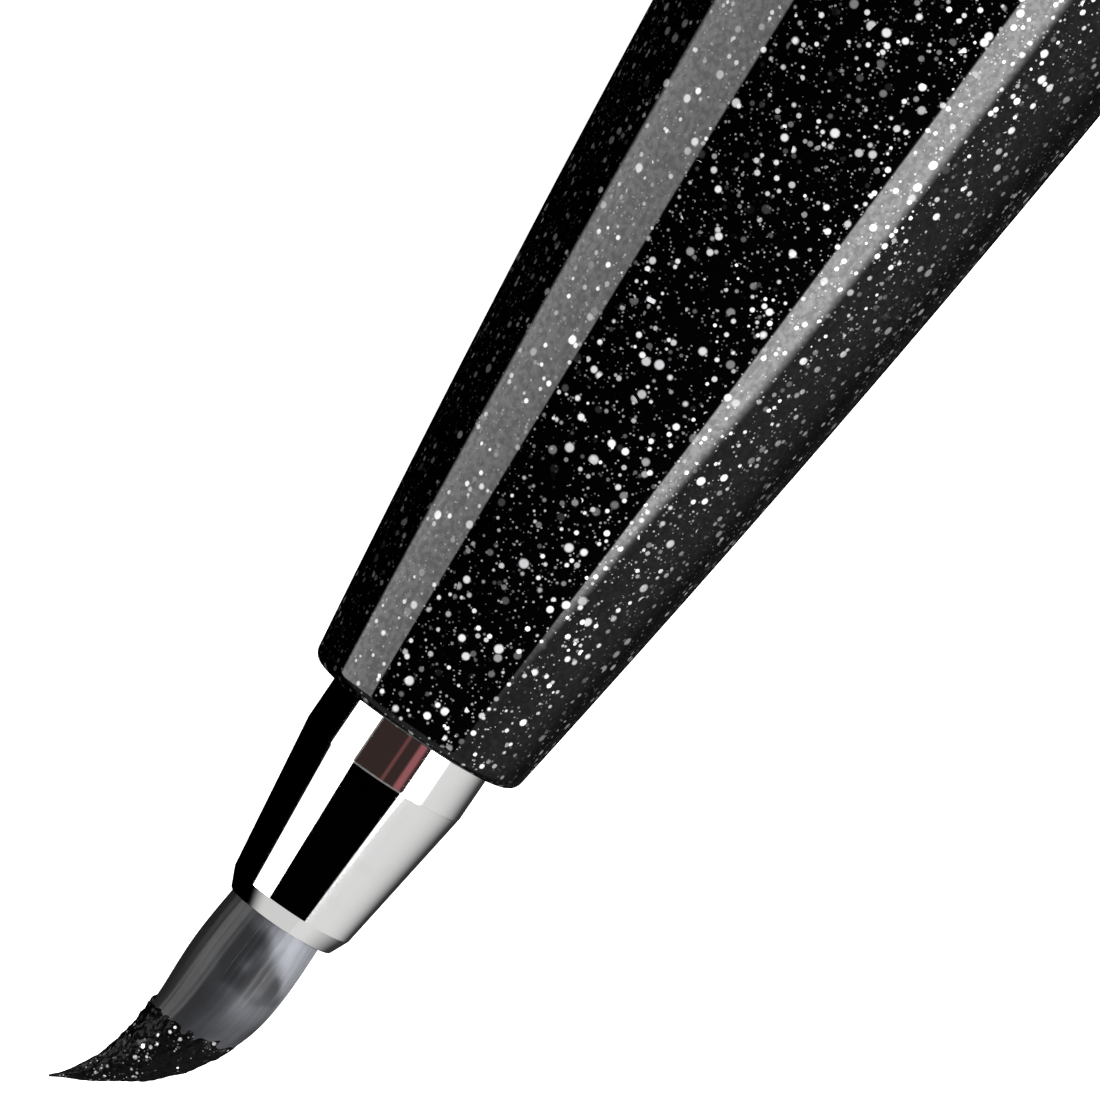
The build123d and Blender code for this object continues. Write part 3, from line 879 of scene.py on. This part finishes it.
def bundle(strands: Sequence[tuple[np.ndarray, np.ndarray]], sides: int) -> tuple[np.ndarray, list]:
    """Join many thin tubes into one set of points and faces.

    Args:
        strands: each tube's centre line and its radii.
        sides: how many points go round each tube.

    Returns:
        The points and the faces.
    """
    points: list[np.ndarray] = []
    faces: list[tuple[int, ...]] = []
    total = 0
    for line, radii in strands:
        own_points, own_faces = skin(tube(line, radii, sides))
        points.append(own_points)
        faces += [tuple(v + total for v in face) for face in own_faces]
        total += len(own_points)
    return np.vstack(points), faces


# ------------------------------------------------------------------------ the pen's nose
@dataclass(frozen=True)
class Nose:
    """The tapered black nose and the chrome ferrule in its end."""

    front_radius: float = 3.293
    taper_length: float = 27.5
    taper_bulge: float = 0.198
    taper_steps: int = 28
    front_corner: float = 0.38
    bore: float = 2.53
    inner_bore: float = 3.1
    tank_bore: float = 5.3
    seat_length: float = 6.0
    spigot_radius: float = 6.09
    groove_depth: float = 0.58
    groove_width: float = 0.64
    ferrule_hold: float = 5.5
    lip_wall: float = 0.08
    lip_length: float = 0.55
    lip_flare: float = 0.25
    cone_length: float = 5.0
    band_radius: float = 2.5
    seam: float = 0.045
    ferrule_bore: float = 1.55
    socket_bore: float = 1.85
    socket_depth: float = 4.0
    flange: float = 0.8

    def build(self) -> None:
        """Make the nose and the ferrule, and dress the seals."""
        self.nose()
        self.ferrule()
        dress(RUBBER, "nose_seal", "cap_seal")

    def nose(self) -> None:
        """Turn the nose: taper, seat for the cap with its seal's groove, and spigot."""
        front, back, seat_radius = span("nose_section")
        seat = front + self.taper_length
        shoulder = seat + self.seat_length
        low, high, _ = span("cap_seal")
        middle = (low + high) / 2
        bottom = seat_radius - self.groove_depth
        groove = (middle - self.groove_width / 2, middle + self.groove_width / 2)
        taper = []
        for step in range(1, self.taper_steps):
            share = step / self.taper_steps
            radius = self.front_radius + share * (seat_radius - self.front_radius)
            radius += 4 * self.taper_bulge * share * (1 - share)
            taper.append((front + share * self.taper_length, radius, 0.0))
        corners = (
            (front, self.front_radius, self.front_corner),
            *taper,
            (seat, seat_radius, 0.0),
            (groove[0], seat_radius, 0.03),
            (groove[0], bottom, 0.03),
            (groove[1], bottom, 0.03),
            (groove[1], seat_radius, 0.03),
            (shoulder, seat_radius, 0.05),
            (shoulder, self.spigot_radius, 0.03),
            (back, self.spigot_radius, 0.1),
            (back, self.tank_bore, 0.05),
            (seat + 2.0, self.tank_bore, 0.0),
            (front + self.ferrule_hold + self.flange, self.inner_bore, 0.0),
            (front + self.ferrule_hold, self.inner_bore, 0.0),
            (front + self.ferrule_hold, self.bore, 0.0),
            (front, self.bore, 0.05),
        )
        mesh = Turning("nose", corners, around=256).mesh()
        add_piece(mesh, GLITTER, Slot.GLITTER, Body.PEN, "nose_section")

    def ferrule(self) -> None:
        """Turn the ferrule: chamfered lip, cone, seam line, band and flange."""
        mouth, back, flange_radius = span("ferrule")
        band = mouth + self.cone_length
        step = back - self.flange
        lip = self.ferrule_bore + self.lip_wall
        cone_end = self.band_radius - self.seam / 4
        corners = (
            (mouth, self.ferrule_bore, 0.02),
            (mouth, lip, 0.03),
            (mouth + self.lip_length, lip + self.lip_flare, 0.05),
            (band - self.seam / 2, cone_end, 0.0),
            (band - self.seam / 2, cone_end - self.seam / 2, 0.0),
            (band + self.seam / 2, cone_end - self.seam / 2, 0.0),
            (band + self.seam / 2, self.band_radius, 0.0),
            (step, self.band_radius, 0.02),
            (step, flange_radius, 0.03),
            (back, flange_radius, 0.03),
            (back, self.socket_bore, 0.02),
            (mouth + self.socket_depth, self.socket_bore, 0.0),
            (mouth + self.socket_depth, self.ferrule_bore, 0.0),
        )
        mesh = Turning("chrome_ferrule", corners, around=256).mesh()
        add_piece(mesh, FERRULE, Slot.CHROME, Body.PEN, "ferrule")


# ------------------------------------------------------------------------------- brush
@dataclass(frozen=True)
class Brush:
    """The bent wet tuft: its merged body, the filaments on it, and the ink on its tip.

    A place on the tuft is given by its share of the length, from 0 inside the ferrule to 1
    at the tip, and by an angle round it, where +Y is the inside of the bend.
    """

    radius: float = 1.41
    lean: float = 2.5
    offset: float = 0.105
    straight: float = 2.5
    bend: float = 51.0
    bend_length: float = 5.8
    start: float = 0.3
    ridges: float = 0.007
    filaments: int = 84
    filament_radius: float = 0.028
    filament_sides: int = 6
    wisps: int = 9
    wisp_start: float = 0.86
    ink_start: float = 0.475
    ink_slant: float = -0.055
    ink_depth: float = 0.035
    ink_lumps: float = 0.075
    dollop_height: float = 0.15
    dollop_share: float = 0.535
    dollop_length: float = 0.03
    dollop_width: float = 0.35
    bend_zone: float = 4.6
    seed: int = 7
    girth_knots: tuple[Point, ...] = (
        (0.0, 1.0),
        (0.22, 1.06),
        (0.38, 1.0),
        (0.54, 0.79),
        (0.67, 0.57),
        (0.78, 0.34),
        (0.88, 0.17),
        (0.96, 0.05),
        (1.0, 0.02),
    )

    @property
    def length(self) -> float:
        """Return the length of the tuft's centre line."""
        return self.straight + self.bend_length

    def girth(self, share: float) -> float:
        """Return the tuft's radius at a share of its length."""
        knots = self.girth_knots
        for index in range(len(knots) - 1):
            if share <= knots[index + 1][0]:
                break
        (a, ra), (b, rb) = knots[index], knots[index + 1]
        before = knots[max(index - 1, 0)]
        after = knots[min(index + 2, len(knots) - 1)]
        slope_a = (rb - before[1]) / max(b - before[0], 1e-6)
        slope_b = (after[1] - ra) / max(after[0] - a, 1e-6)
        t = (share - a) / (b - a)
        curve = (
            (2 * t**3 - 3 * t**2 + 1) * ra
            + (t**3 - 2 * t**2 + t) * (b - a) * slope_a
            + (3 * t**2 - 2 * t**3) * rb
            + (t**3 - t**2) * (b - a) * slope_b
        )
        return self.radius * curve

    def centre(self, share: float) -> tuple[np.ndarray, float]:
        """Return the centre line's point at a share, and which way it heads there."""
        mouth = span("ferrule")[0]
        along = share * self.length
        straight = min(along, self.straight)
        bend_radius = self.bend_length / math.radians(self.bend)
        turned = max(along - self.straight, 0) / bend_radius
        lean = math.radians(self.lean)
        heading = lean + turned
        x = straight * math.cos(lean) + bend_radius * (math.sin(heading) - math.sin(lean))
        y = straight * math.sin(lean) + bend_radius * (math.cos(lean) - math.cos(heading))
        return np.array((mouth + self.start - x, self.offset + y, 0.0)), heading

    def at(self, share: float, angle: float, radius: float) -> np.ndarray:
        """Return the point at a share, an angle round the tuft and a radius."""
        point, heading = self.centre(share)
        side = np.array((math.sin(heading), math.cos(heading), 0.0))
        return point + radius * (math.sin(angle) * side + math.cos(angle) * np.array((0, 0, 1.0)))

    def wrap(
        self, name: str, depth: Callable[[float, float], float], start: float, rings: int, around: int
    ) -> bpy.types.Mesh:
        """Make a skin round the tuft.

        Args:
            name: the mesh's name.
            depth: how far the skin lies outside the tuft's girth at a share and an angle.
            start: the share where it starts.
            rings: how many rings it has.
            around: how many points a ring has.

        Returns:
            The mesh, with each point's place on the tuft in its "strand" attribute.
        """
        shares = np.linspace(start, 1.0, rings)
        angles = np.linspace(0, 2 * math.pi, around, endpoint=False)
        shape = np.zeros((rings, around, 3))
        strand = np.zeros((rings, around, 3))
        for i, share in enumerate(shares):
            girth = self.girth(max(share, 0.0))
            for k, angle in enumerate(angles):
                radius = max(girth + depth(share, angle), 0.3 * girth)
                shape[i, k] = self.at(share, angle, radius)
                strand[i, k] = (math.cos(angle), math.sin(angle), share * self.length)
        points, faces = skin(shape)
        mesh = to_mesh(name, points, faces)
        ends = np.array(((0, 0, start * self.length), (0, 0, self.length)))
        self.mark(mesh, np.vstack((strand.reshape(-1, 3), ends)))
        return mesh

    @staticmethod
    def mark(mesh: bpy.types.Mesh, strand: np.ndarray) -> None:
        """Store each point's place on the tuft for the bristle finish."""
        layer = mesh.attributes.new("strand", "FLOAT_VECTOR", "POINT")
        layer.data.foreach_set("vector", strand.astype(np.float32).ravel())

    def ridge(self, share: float, angle: float) -> float:
        """Return how far the merged filaments stand out or sink in at a place."""
        strands = Vector((9 * math.cos(angle), 9 * math.sin(angle), 1.3 * share))
        clumps = Vector((2.2 * math.cos(angle), 2.2 * math.sin(angle), 2.0 * share))
        fine = noise.noise(strands)
        broad = noise.noise(clumps)
        return self.ridges * (1.6 * fine + 2.2 * broad * min(3 * share, 1.0))

    def ink(self, share: float, angle: float) -> float:
        """Return how far the ink stands above the filaments, or below where there is none."""
        inside = math.sin(angle)
        place = Vector((1.3 * math.cos(angle), 1.3 * inside, 9 * share))
        edge = self.ink_start - self.ink_slant * inside + 0.05 * noise.noise(3.1 * place)
        rise = min(max((share - edge) / 0.05, 0.0), 1.0)
        rise = rise * rise * (3 - 2 * rise)
        lumps = 0.7 * noise.noise(2.1 * place) + 0.5 * noise.noise(5.5 * place)
        thin = min(max((1.0 - share) / 0.3, 0.12), 1.0)
        ahead = (share - self.dollop_share) / self.dollop_length
        aside = (inside - 1) / self.dollop_width
        dollop = self.dollop_height * math.exp(-(ahead**2) - aside**2)
        swell = self.ink_depth + self.ink_lumps * lumps
        return rise * (thin * swell + dollop) - 0.05 * (1 - rise)

    def strand_line(self, angle: float, end: float, sink: float, wander: random.Random) -> np.ndarray:
        """Return the line of one filament along the tuft's surface."""
        steps = 46
        sway = wander.uniform(-0.10, 0.10)
        phase = wander.uniform(0, 6.3)
        line = []
        for step in range(steps):
            share = end * step / (steps - 1)
            turn = angle + sway * math.sin(2.4 * share + phase) * share
            radius = self.girth(share) + self.ridge(share, turn) - sink
            line.append(self.at(share, turn, max(radius, 0.0)))
        return np.array(line)

    def fringe(self) -> bpy.types.Mesh:
        """Make the filaments that can be told apart on the wet surface, as one mesh."""
        wander = random.Random(self.seed)
        strands, places = [], []
        for index in range(self.filaments):
            angle = 2 * math.pi * (index + wander.uniform(-0.4, 0.4)) / self.filaments
            end = wander.uniform(0.80, 0.99)
            sink = wander.uniform(0.8, 1.2) * self.filament_radius
            line = self.strand_line(angle, end, sink, wander)
            taper = np.linspace(0, 1, len(line))
            strands.append((line, self.filament_radius * (1 - 0.75 * taper**3)))
            rows = np.repeat(taper * end * self.length, self.filament_sides)
            rows = np.append(rows, (0.0, end * self.length))
            up = math.cos(angle) + wander.uniform(-0.05, 0.05)
            places.append(np.stack(np.broadcast_arrays(up, math.sin(angle), rows), axis=1))
        return self.filament_mesh("brush_filaments", strands, places)

    def wisp(self) -> bpy.types.Mesh:
        """Make the few filaments that stand free of the ink at the very tip."""
        wander = random.Random(self.seed + 1)
        strands, places = [], []
        for index in range(self.wisps):
            angle = 2 * math.pi * index / self.wisps
            shares = np.linspace(self.wisp_start, 1.0 - wander.uniform(0.0, 0.012), 14)
            line = np.array([self.at(s, angle, 0.55 * self.girth(s)) for s in shares])
            strands.append((line, np.linspace(0.03, 0.008, len(line))))
            count = len(line) * self.filament_sides + 2
            # Painted light: the wisps are marked as lying on the -Y side, so the bristle finish gives
            # them the pale tone painted there.
            places.append(np.tile((1.0, -0.6, 1.0), (count, 1)))
        return self.filament_mesh("brush_tip_wisp", strands, places)

    def filament_mesh(
        self, name: str, strands: Sequence[tuple[np.ndarray, np.ndarray]], places: Sequence[np.ndarray]
    ) -> bpy.types.Mesh:
        """Return one mesh of many filaments, with its places on the tuft marked."""
        points, faces = bundle(strands, self.filament_sides)
        mesh = to_mesh(name, points, faces)
        self.mark(mesh, np.vstack(places))
        return mesh

    def build(self) -> None:
        """Make the tuft's bent pieces and dress its root."""
        body = self.wrap("wet_tuft", self.ridge, -0.03, 150, 220)
        ink = self.wrap("ink_coat", self.ink, self.ink_start - 0.18, 200, 260)
        pieces = (
            add_piece(body, BRISTLE, Slot.BRISTLE, None, "brush_tuft"),
            add_piece(self.fringe(), BRISTLE, Slot.BRISTLE, None),
            add_piece(ink, INK, Slot.GLITTER, None),
            add_piece(self.wisp(), BRISTLE, Slot.BRISTLE, None),
        )
        for piece in pieces:
            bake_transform(piece)
        dress(ROOT, "brush_root")


# -------------------------------------------------------------------- barrel and insides
@dataclass(frozen=True)
class Barrel:
    """The barrel, its bright rings, the ink feed inside it and the tail button."""

    edge: float = 0.3
    bore: float = 6.15
    seat_radius: float = 6.385
    seat_length: float = 12.0
    tail_bore: float = 5.2
    tail_depth: float = 36.0
    lip_bore: float = 4.76
    lip_length: float = 2.0
    ring_edge: float = 0.2
    ring_bore: float = 6.415
    spring_wire: float = 0.28
    spring_turns: int = 11
    spring_steps: int = 36

    def build(self) -> None:
        """Make the barrel, rings and spring, and dress what stays as CAD."""
        self.barrel()
        self.ring("front_ring", "front_trim_ring")
        self.ring("rear_ring", "rear_trim_ring")
        self.spring()
        dress(GLITTER, "push_button")
        dress(CLEAR, "ink_tank", "feed_tube")
        dress(INNER, "nib_carrier", "guide_nut")
        dress(RUBBER, "tank_seal")
        dress(WHITE, "ratchet_rotor", "feed_screw")
        dress(SEAL_GREY, "piston")
        dress(STEEL, "mixing_ball")

    def barrel(self) -> None:
        """Turn the barrel with the seat on its tail and the lip round the button."""
        front, back, radius = span("barrel")
        seat = back - self.seat_length
        lip = back - self.lip_length
        shoulder = back - self.tail_depth
        corners = (
            (front, self.bore, 0.05),
            (front, radius, self.edge),
            (seat, radius, self.edge),
            (seat, self.seat_radius, 0.05),
            (back, self.seat_radius, self.edge),
            (back, self.lip_bore, 0.1),
            (lip, self.lip_bore, 0.0),
            (lip, self.tail_bore, 0.0),
            (shoulder, self.tail_bore, 0.0),
            (shoulder, self.bore, 0.0),
        )
        mesh = Turning("glitter_barrel", corners).mesh()
        add_piece(mesh, GLITTER, Slot.GLITTER, Body.PEN, "barrel")

    def ring(self, name: str, node: str) -> None:
        """Turn one bright ring with softly rounded edges."""
        front, back, radius = span(node)
        corners = (
            (front, self.ring_bore, 0.03),
            (front, radius, self.ring_edge),
            (back, radius, self.ring_edge),
            (back, self.ring_bore, 0.03),
        )
        add_piece(Turning(name, corners).mesh(), CHROME, Slot.CHROME, Body.PEN, node)

    def spring(self) -> None:
        """Wind the button's return spring."""
        front, back, radius = span("return_spring")
        wire = self.spring_wire
        mean = radius - wire
        count = self.spring_turns * self.spring_steps + 1
        turn = np.linspace(0, 2 * math.pi * self.spring_turns, count)
        line = np.stack(
            (np.linspace(front + wire, back - wire, count), mean * np.cos(turn), mean * np.sin(turn)),
            axis=1,
        )
        points, faces = skin(tube(line, np.full(count, wire), 12))
        mesh = to_mesh("button_spring", points, faces)
        piece = add_piece(mesh, STEEL, Slot.STEEL, None, "return_spring")
        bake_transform(piece)


# --------------------------------------------------------------------------------- cap
@dataclass(frozen=True)
class Cap:
    """The cap posted on the tail, with its band, crown and pocket clip."""

    bore: float = 6.9
    mouth_edge: float = 0.2
    band_depth: float = 0.22
    crown_edge: float = 0.8
    boss_radius: float = 3.97
    washer_bore: float = 4.0
    washer_radius: float = 7.3
    clip_width: float = 4.2
    clip_thickness: float = 0.6
    clip_edge: float = 0.16
    clip_bend: float = 0.75
    clip_flat_length: float = 27.0
    clip_contact: float = 2.6
    clip_contact_radius: float = 7.5
    clip_tip_radius: float = 8.45
    clip_tip_round: float = 2.0

    def build(self) -> None:
        """Make the cap's pieces and dress its liner."""
        self.shell_and_band()
        self.crown()
        self.clip()
        dress(INNER, "cap_liner")

    def shell_and_band(self) -> None:
        """Turn the shell with the groove that the bright band lies in, and the band."""
        front, back, radius = span("cap_shell")
        band_front, band_back, band_radius = span("cap_band")
        seat = radius - self.band_depth
        shell = (
            (front, self.bore, 0.05),
            (front, radius, self.mouth_edge),
            (band_front, radius, 0.05),
            (band_front, seat, 0.0),
            (band_back, seat, 0.0),
            (band_back, radius, 0.05),
            (back, radius, 0.08),
            (back, self.bore, 0.0),
        )
        band = (
            (band_front, seat + 0.02, 0.0),
            (band_front, band_radius, 0.09),
            (band_back, band_radius, 0.09),
            (band_back, seat + 0.02, 0.0),
        )
        mesh = Turning("cap_tube", shell).mesh()
        add_piece(mesh, GLITTER, Slot.GLITTER, Body.CAP, "cap_shell")
        mesh = Turning("bright_cap_band", band).mesh()
        add_piece(mesh, CHROME, Slot.CHROME, Body.CAP, "cap_band")

    def crown(self) -> None:
        """Turn the crown that closes the cap, and the clip's washer under it."""
        front, back, radius = span("cap_crown")
        washer_front, washer_back, _ = span("clip_anchor")
        crown = (
            (front, 0.0, 0.0),
            (front, self.boss_radius, 0.05),
            (washer_back, self.boss_radius, 0.0),
            (washer_back, radius, 0.08),
            (back, radius, self.crown_edge),
            (back, 0.0, 0.0),
        )
        washer = (
            (washer_front, self.washer_bore, 0.0),
            (washer_front, self.washer_radius, 0.05),
            (washer_back, self.washer_radius, 0.05),
            (washer_back, self.washer_bore, 0.0),
        )
        mesh = Turning("crown", crown).mesh()
        add_piece(mesh, GLITTER, Slot.GLITTER, Body.CAP, "cap_crown")
        mesh = Turning("clip_washer", washer).mesh()
        add_piece(mesh, CHROME, Slot.CHROME, Body.CAP, "clip_anchor")

    def clip(self) -> None:
        """Bend the clip from one strip: up from the washer, along the cap, to a turned-up tip."""
        low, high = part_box("clip_arm")
        middle = (low + high) / 2
        out = np.array((0.0, middle.y, middle.z))
        out /= np.linalg.norm(out)
        tip, root = low.x / MM, high.x / MM
        half = self.clip_thickness / 2
        washer_front, washer_back, _ = span("clip_anchor")
        riser = (washer_front + washer_back) / 2
        arm_radius = self.outer_radius(out) - half
        contact = self.clip_contact_radius + half
        path = soften(
            (
                (riser, self.washer_radius - 0.6, 0.0),
                (riser, arm_radius, self.clip_bend),
                (root - self.clip_flat_length, arm_radius - 0.3, 14.0),
                (tip + self.clip_contact, contact, 3.0),
                (tip + half, self.clip_tip_radius, 0.0),
            ),
            closed=False,
            steps=14,
        )
        path = self.spread(path, 90)
        width_way = np.cross((1.0, 0.0, 0.0), out)
        heading = np.gradient(path, axis=0)
        heading /= np.linalg.norm(heading, axis=1, keepdims=True)
        rings = []
        for (x, radius), (dx, dr) in zip(path, heading):
            wide = self.half_width(x - tip)
            section = soften(
                (
                    (-wide, -half, self.clip_edge),
                    (wide, -half, self.clip_edge),
                    (wide, half, self.clip_edge),
                    (-wide, half, self.clip_edge),
                ),
                closed=True,
                steps=4,
            )
            spot = np.array((x, 0.0, 0.0)) + radius * out
            normal = np.array((-dr, 0.0, 0.0)) + dx * out
            rings.append([spot + across * width_way + rise * normal for across, rise in section])
        points, faces = skin(np.array(rings))
        mesh = to_mesh("pocket_clip", points, faces)
        mesh.flip_normals()
        weight_normals(mesh)
        piece = add_piece(mesh, CHROME, Slot.CHROME, None, "clip_arm")
        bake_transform(piece)

    @staticmethod
    def outer_radius(out: np.ndarray) -> float:
        """Return how far the CAD clip's arm reaches from the axis, in mm."""
        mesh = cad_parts["clip_arm"].data
        return max(float(np.dot(np.array(v.co), out)) for v in mesh.vertices) / MM

    def half_width(self, from_tip: float) -> float:
        """Return the clip's half width at a distance from its rounded tip."""
        missing = max(1 - from_tip / self.clip_tip_round, 0.0)
        return self.clip_width / 2 * math.sqrt(max(1 - missing**2, 0.05))

    @staticmethod
    def spread(path: Sequence[Point], count: int) -> np.ndarray:
        """Return a path with its points evenly far apart, and its bends kept."""
        line = np.array(path)
        steps = np.linalg.norm(np.diff(line, axis=0), axis=1)
        along = np.concatenate(((0.0,), np.cumsum(steps)))
        wanted = np.unique(np.concatenate((np.linspace(0, along[-1], count), along)))
        wanted = wanted[np.concatenate(((True,), np.diff(wanted) > 0.02))]
        return np.stack([np.interp(wanted, along, line[:, i]) for i in (0, 1)], axis=1)


# ------------------------------------------------------------------------------ studio
@dataclass(frozen=True)
class Studio:
    """A pale table, long soft light boxes either side of the pen, and the camera.

    Directions round the pen are degrees from straight up, positive towards +Y.
    """

    table_reach: float = 5000.0
    left_box: tuple[float, float] = (51.0, 95.0)
    left_light: float = 6.2
    right_edge: float = -49.0
    right_width: float = 20.0
    right_light: float = 15.0
    right_start: tuple[float, float] = (-0.36, -0.23)
    left_soft: tuple[float, float] = (0.7, 2.0)
    right_soft: tuple[float, float] = (3.0, 5.0)
    fill_light: float = 0.72
    fill_fade: tuple[float, float] = (28.0, 92.0)
    fill_end: tuple[float, float] = (108.0, 122.0)
    wall_turn: float = -1.0
    wall_half: tuple[float, float] = (51.0, 48.0)
    wall_along: float = -0.1
    wall_reach: tuple[float, float] = (0.085, 0.07)
    wall_dark: Color = (0.035, 0.022, 0.02, 1.0)
    wall_pale: Color = (0.30, 0.10, 0.11, 1.0)
    end_light: float = 0.65
    key_power: float = 2.2
    key_size: float = 0.25
    key_place: tuple[float, float, float] = (-0.04, -0.26, 0.22)
    room_light: float = 0.22
    tilt: float = 5.5
    turn: float = 55.75
    view_width: float = 29.975
    view_distance: float = 400.0
    aim_behind_mouth: float = 12.55
    aim_side: float = -0.40
    sensor: float = 36.0

    def build(self) -> None:
        """Set up the table, the surroundings, the key light and the camera."""
        bpy.context.scene.view_settings.view_transform = "Standard"
        self.table()
        self.surroundings()
        self.key()
        self.camera()

    def table(self) -> None:
        """Lay the table that the barrel rests on."""
        height = cad_box[0].z / MM
        steps = np.linspace(-self.table_reach, self.table_reach, 9)
        points = np.array([(x, y, height) for x in steps for y in steps])
        count = len(steps)
        faces = [
            (i * count + k, (i + 1) * count + k, (i + 1) * count + k + 1, i * count + k + 1)
            for i in range(count - 1)
            for k in range(count - 1)
        ]
        mesh = to_mesh("table", points, faces)
        mesh.materials.append(TABLE.material())
        floor = bpy.data.objects.new("table", mesh)
        bpy.context.scene.collection.objects.link(floor)
        floor.visible_glossy = False

    def surroundings(self) -> None:
        """Paint what the gloss reflects: dark, with a light box on each side and a fill."""
        world = bpy.data.worlds.new("studio")
        world.use_nodes = True
        bpy.context.scene.world = world
        graph = Graph(world.node_tree)
        way = graph.value("ShaderNodeTexCoord", output="Generated")
        along, side, up = graph.parts(way)
        turn = graph.value("ShaderNodeMath", {"operation": "ARCTAN2"}, {0: side, 1: up})
        turn = turn * math.degrees(1.0)
        low, high = self.left_box
        sharp, soft = self.left_soft
        left = turn.ramp(low - sharp, low + sharp) * (1 - turn.ramp(high - soft, high + soft))
        past = self.right_edge - turn
        width = self.right_width * along.ramp(*self.right_start)
        inner, outer = self.right_soft
        right = past.ramp(0.0, 1.2) * (1 - past.ramp(width - inner, width + outer))
        right = right * (width * (1 / 6)).ramp(0.0, 1.0)
        fade = 1 - 0.95 * past.ramp(*self.fill_fade)
        fill = past.ramp(-0.8, 0.8) * fade * (1 - past.ramp(*self.fill_end))
        end = (along + 0.05).size()
        ends = end.ramp(0.45, 0.6) * up.ramp(-0.25, 0.3)
        boxes = (self.left_light * left + self.right_light * right) * (1 - end.ramp(0.4, 0.5))
        glow = (boxes + self.fill_light * fill).above(self.end_light * ends)
        wall = (turn - self.wall_turn).size().ramp(*self.wall_half)
        wall = wall * (along - self.wall_along).size().ramp(*self.wall_reach)
        bright_streak = (turn + 37.0).size().ramp(9.0, 3.0)
        dim_streak = (turn + 8.0).size().ramp(5.0, 1.0) * 0.4
        streaks = bright_streak.above(dim_streak) * wall
        brick = graph.blend(streaks, self.wall_dark, self.wall_pale)
        light = self.backdrop(graph, graph.blend(wall, PURE_WHITE, brick), glow.above(wall))
        room = self.backdrop(graph, PURE_WHITE, self.room_light)
        paper = self.backdrop(graph, PURE_WHITE, 1.0)
        glossy = graph.value("ShaderNodeLightPath", output="Is Glossy Ray")
        seen = graph.value("ShaderNodeLightPath", output="Is Camera Ray")
        around = graph.value("ShaderNodeMixShader", None, {0: glossy, 1: room, 2: light})
        mixed = graph.value("ShaderNodeMixShader", None, {0: seen, 1: around, 2: paper})
        graph.node("ShaderNodeOutputWorld", None, {"Surface": mixed})

    @staticmethod
    def backdrop(graph: Graph, color: Any, strength: Term) -> Value:
        """Return light of a colour and strength from the surroundings."""
        return graph.value("ShaderNodeBackground", None, {"Color": color, "Strength": strength})

    def key(self) -> None:
        """Hang one large soft light above and to the -Y side, for the dull surfaces."""
        lamp = bpy.data.lights.new("key", "AREA")
        lamp.shape = "DISK"
        lamp.size = self.key_size
        lamp.energy = self.key_power
        key = bpy.data.objects.new("key", lamp)
        bpy.context.scene.collection.objects.link(key)
        aim = Vector((self.aim(), 0.0, 0.0)) * MM
        key.location = aim + Vector(self.key_place)
        key.rotation_euler = (aim - key.location).to_track_quat("-Z", "Y").to_euler()
        key.visible_glossy = False

    def aim(self) -> float:
        """Return where along the pen the camera looks, in mm."""
        return span("ferrule")[0] + self.aim_behind_mouth

    def camera(self) -> None:
        """Stand the camera over the pen's front end, turned so that the brush is low."""
        tilt, turn = math.radians(self.tilt), math.radians(self.turn)
        back = Vector((math.sin(tilt), 0.0, math.cos(tilt)))
        along = Vector((math.cos(tilt), 0.0, -math.sin(tilt)))
        side = Vector((0.0, 1.0, 0.0))
        right = math.cos(turn) * along - math.sin(turn) * side
        above = math.sin(turn) * along + math.cos(turn) * side
        data = bpy.data.cameras.new("camera")
        data.sensor_width = self.sensor
        data.lens = self.sensor * self.view_distance / self.view_width
        data.clip_start, data.clip_end = 0.01, 30.0
        camera = bpy.data.objects.new("camera", data)
        bpy.context.scene.collection.objects.link(camera)
        aim = Vector((self.aim(), self.aim_side, 0.0)) * MM
        axes = Matrix((right, above, back)).transposed().to_4x4()
        camera.matrix_world = Matrix.Translation(aim + back * self.view_distance * MM) @ axes
        bpy.context.scene.camera = camera


def main() -> None:
    """Build the pen's sub-assemblies and the studio, in order."""
    logging.basicConfig(level=logging.INFO, format="%(message)s")
    for assembly in (Nose(), Brush(), Barrel(), Cap(), Studio()):
        log.info("building %s", type(assembly).__name__)
        assembly.build()


if __name__ == "__main__":
    main()
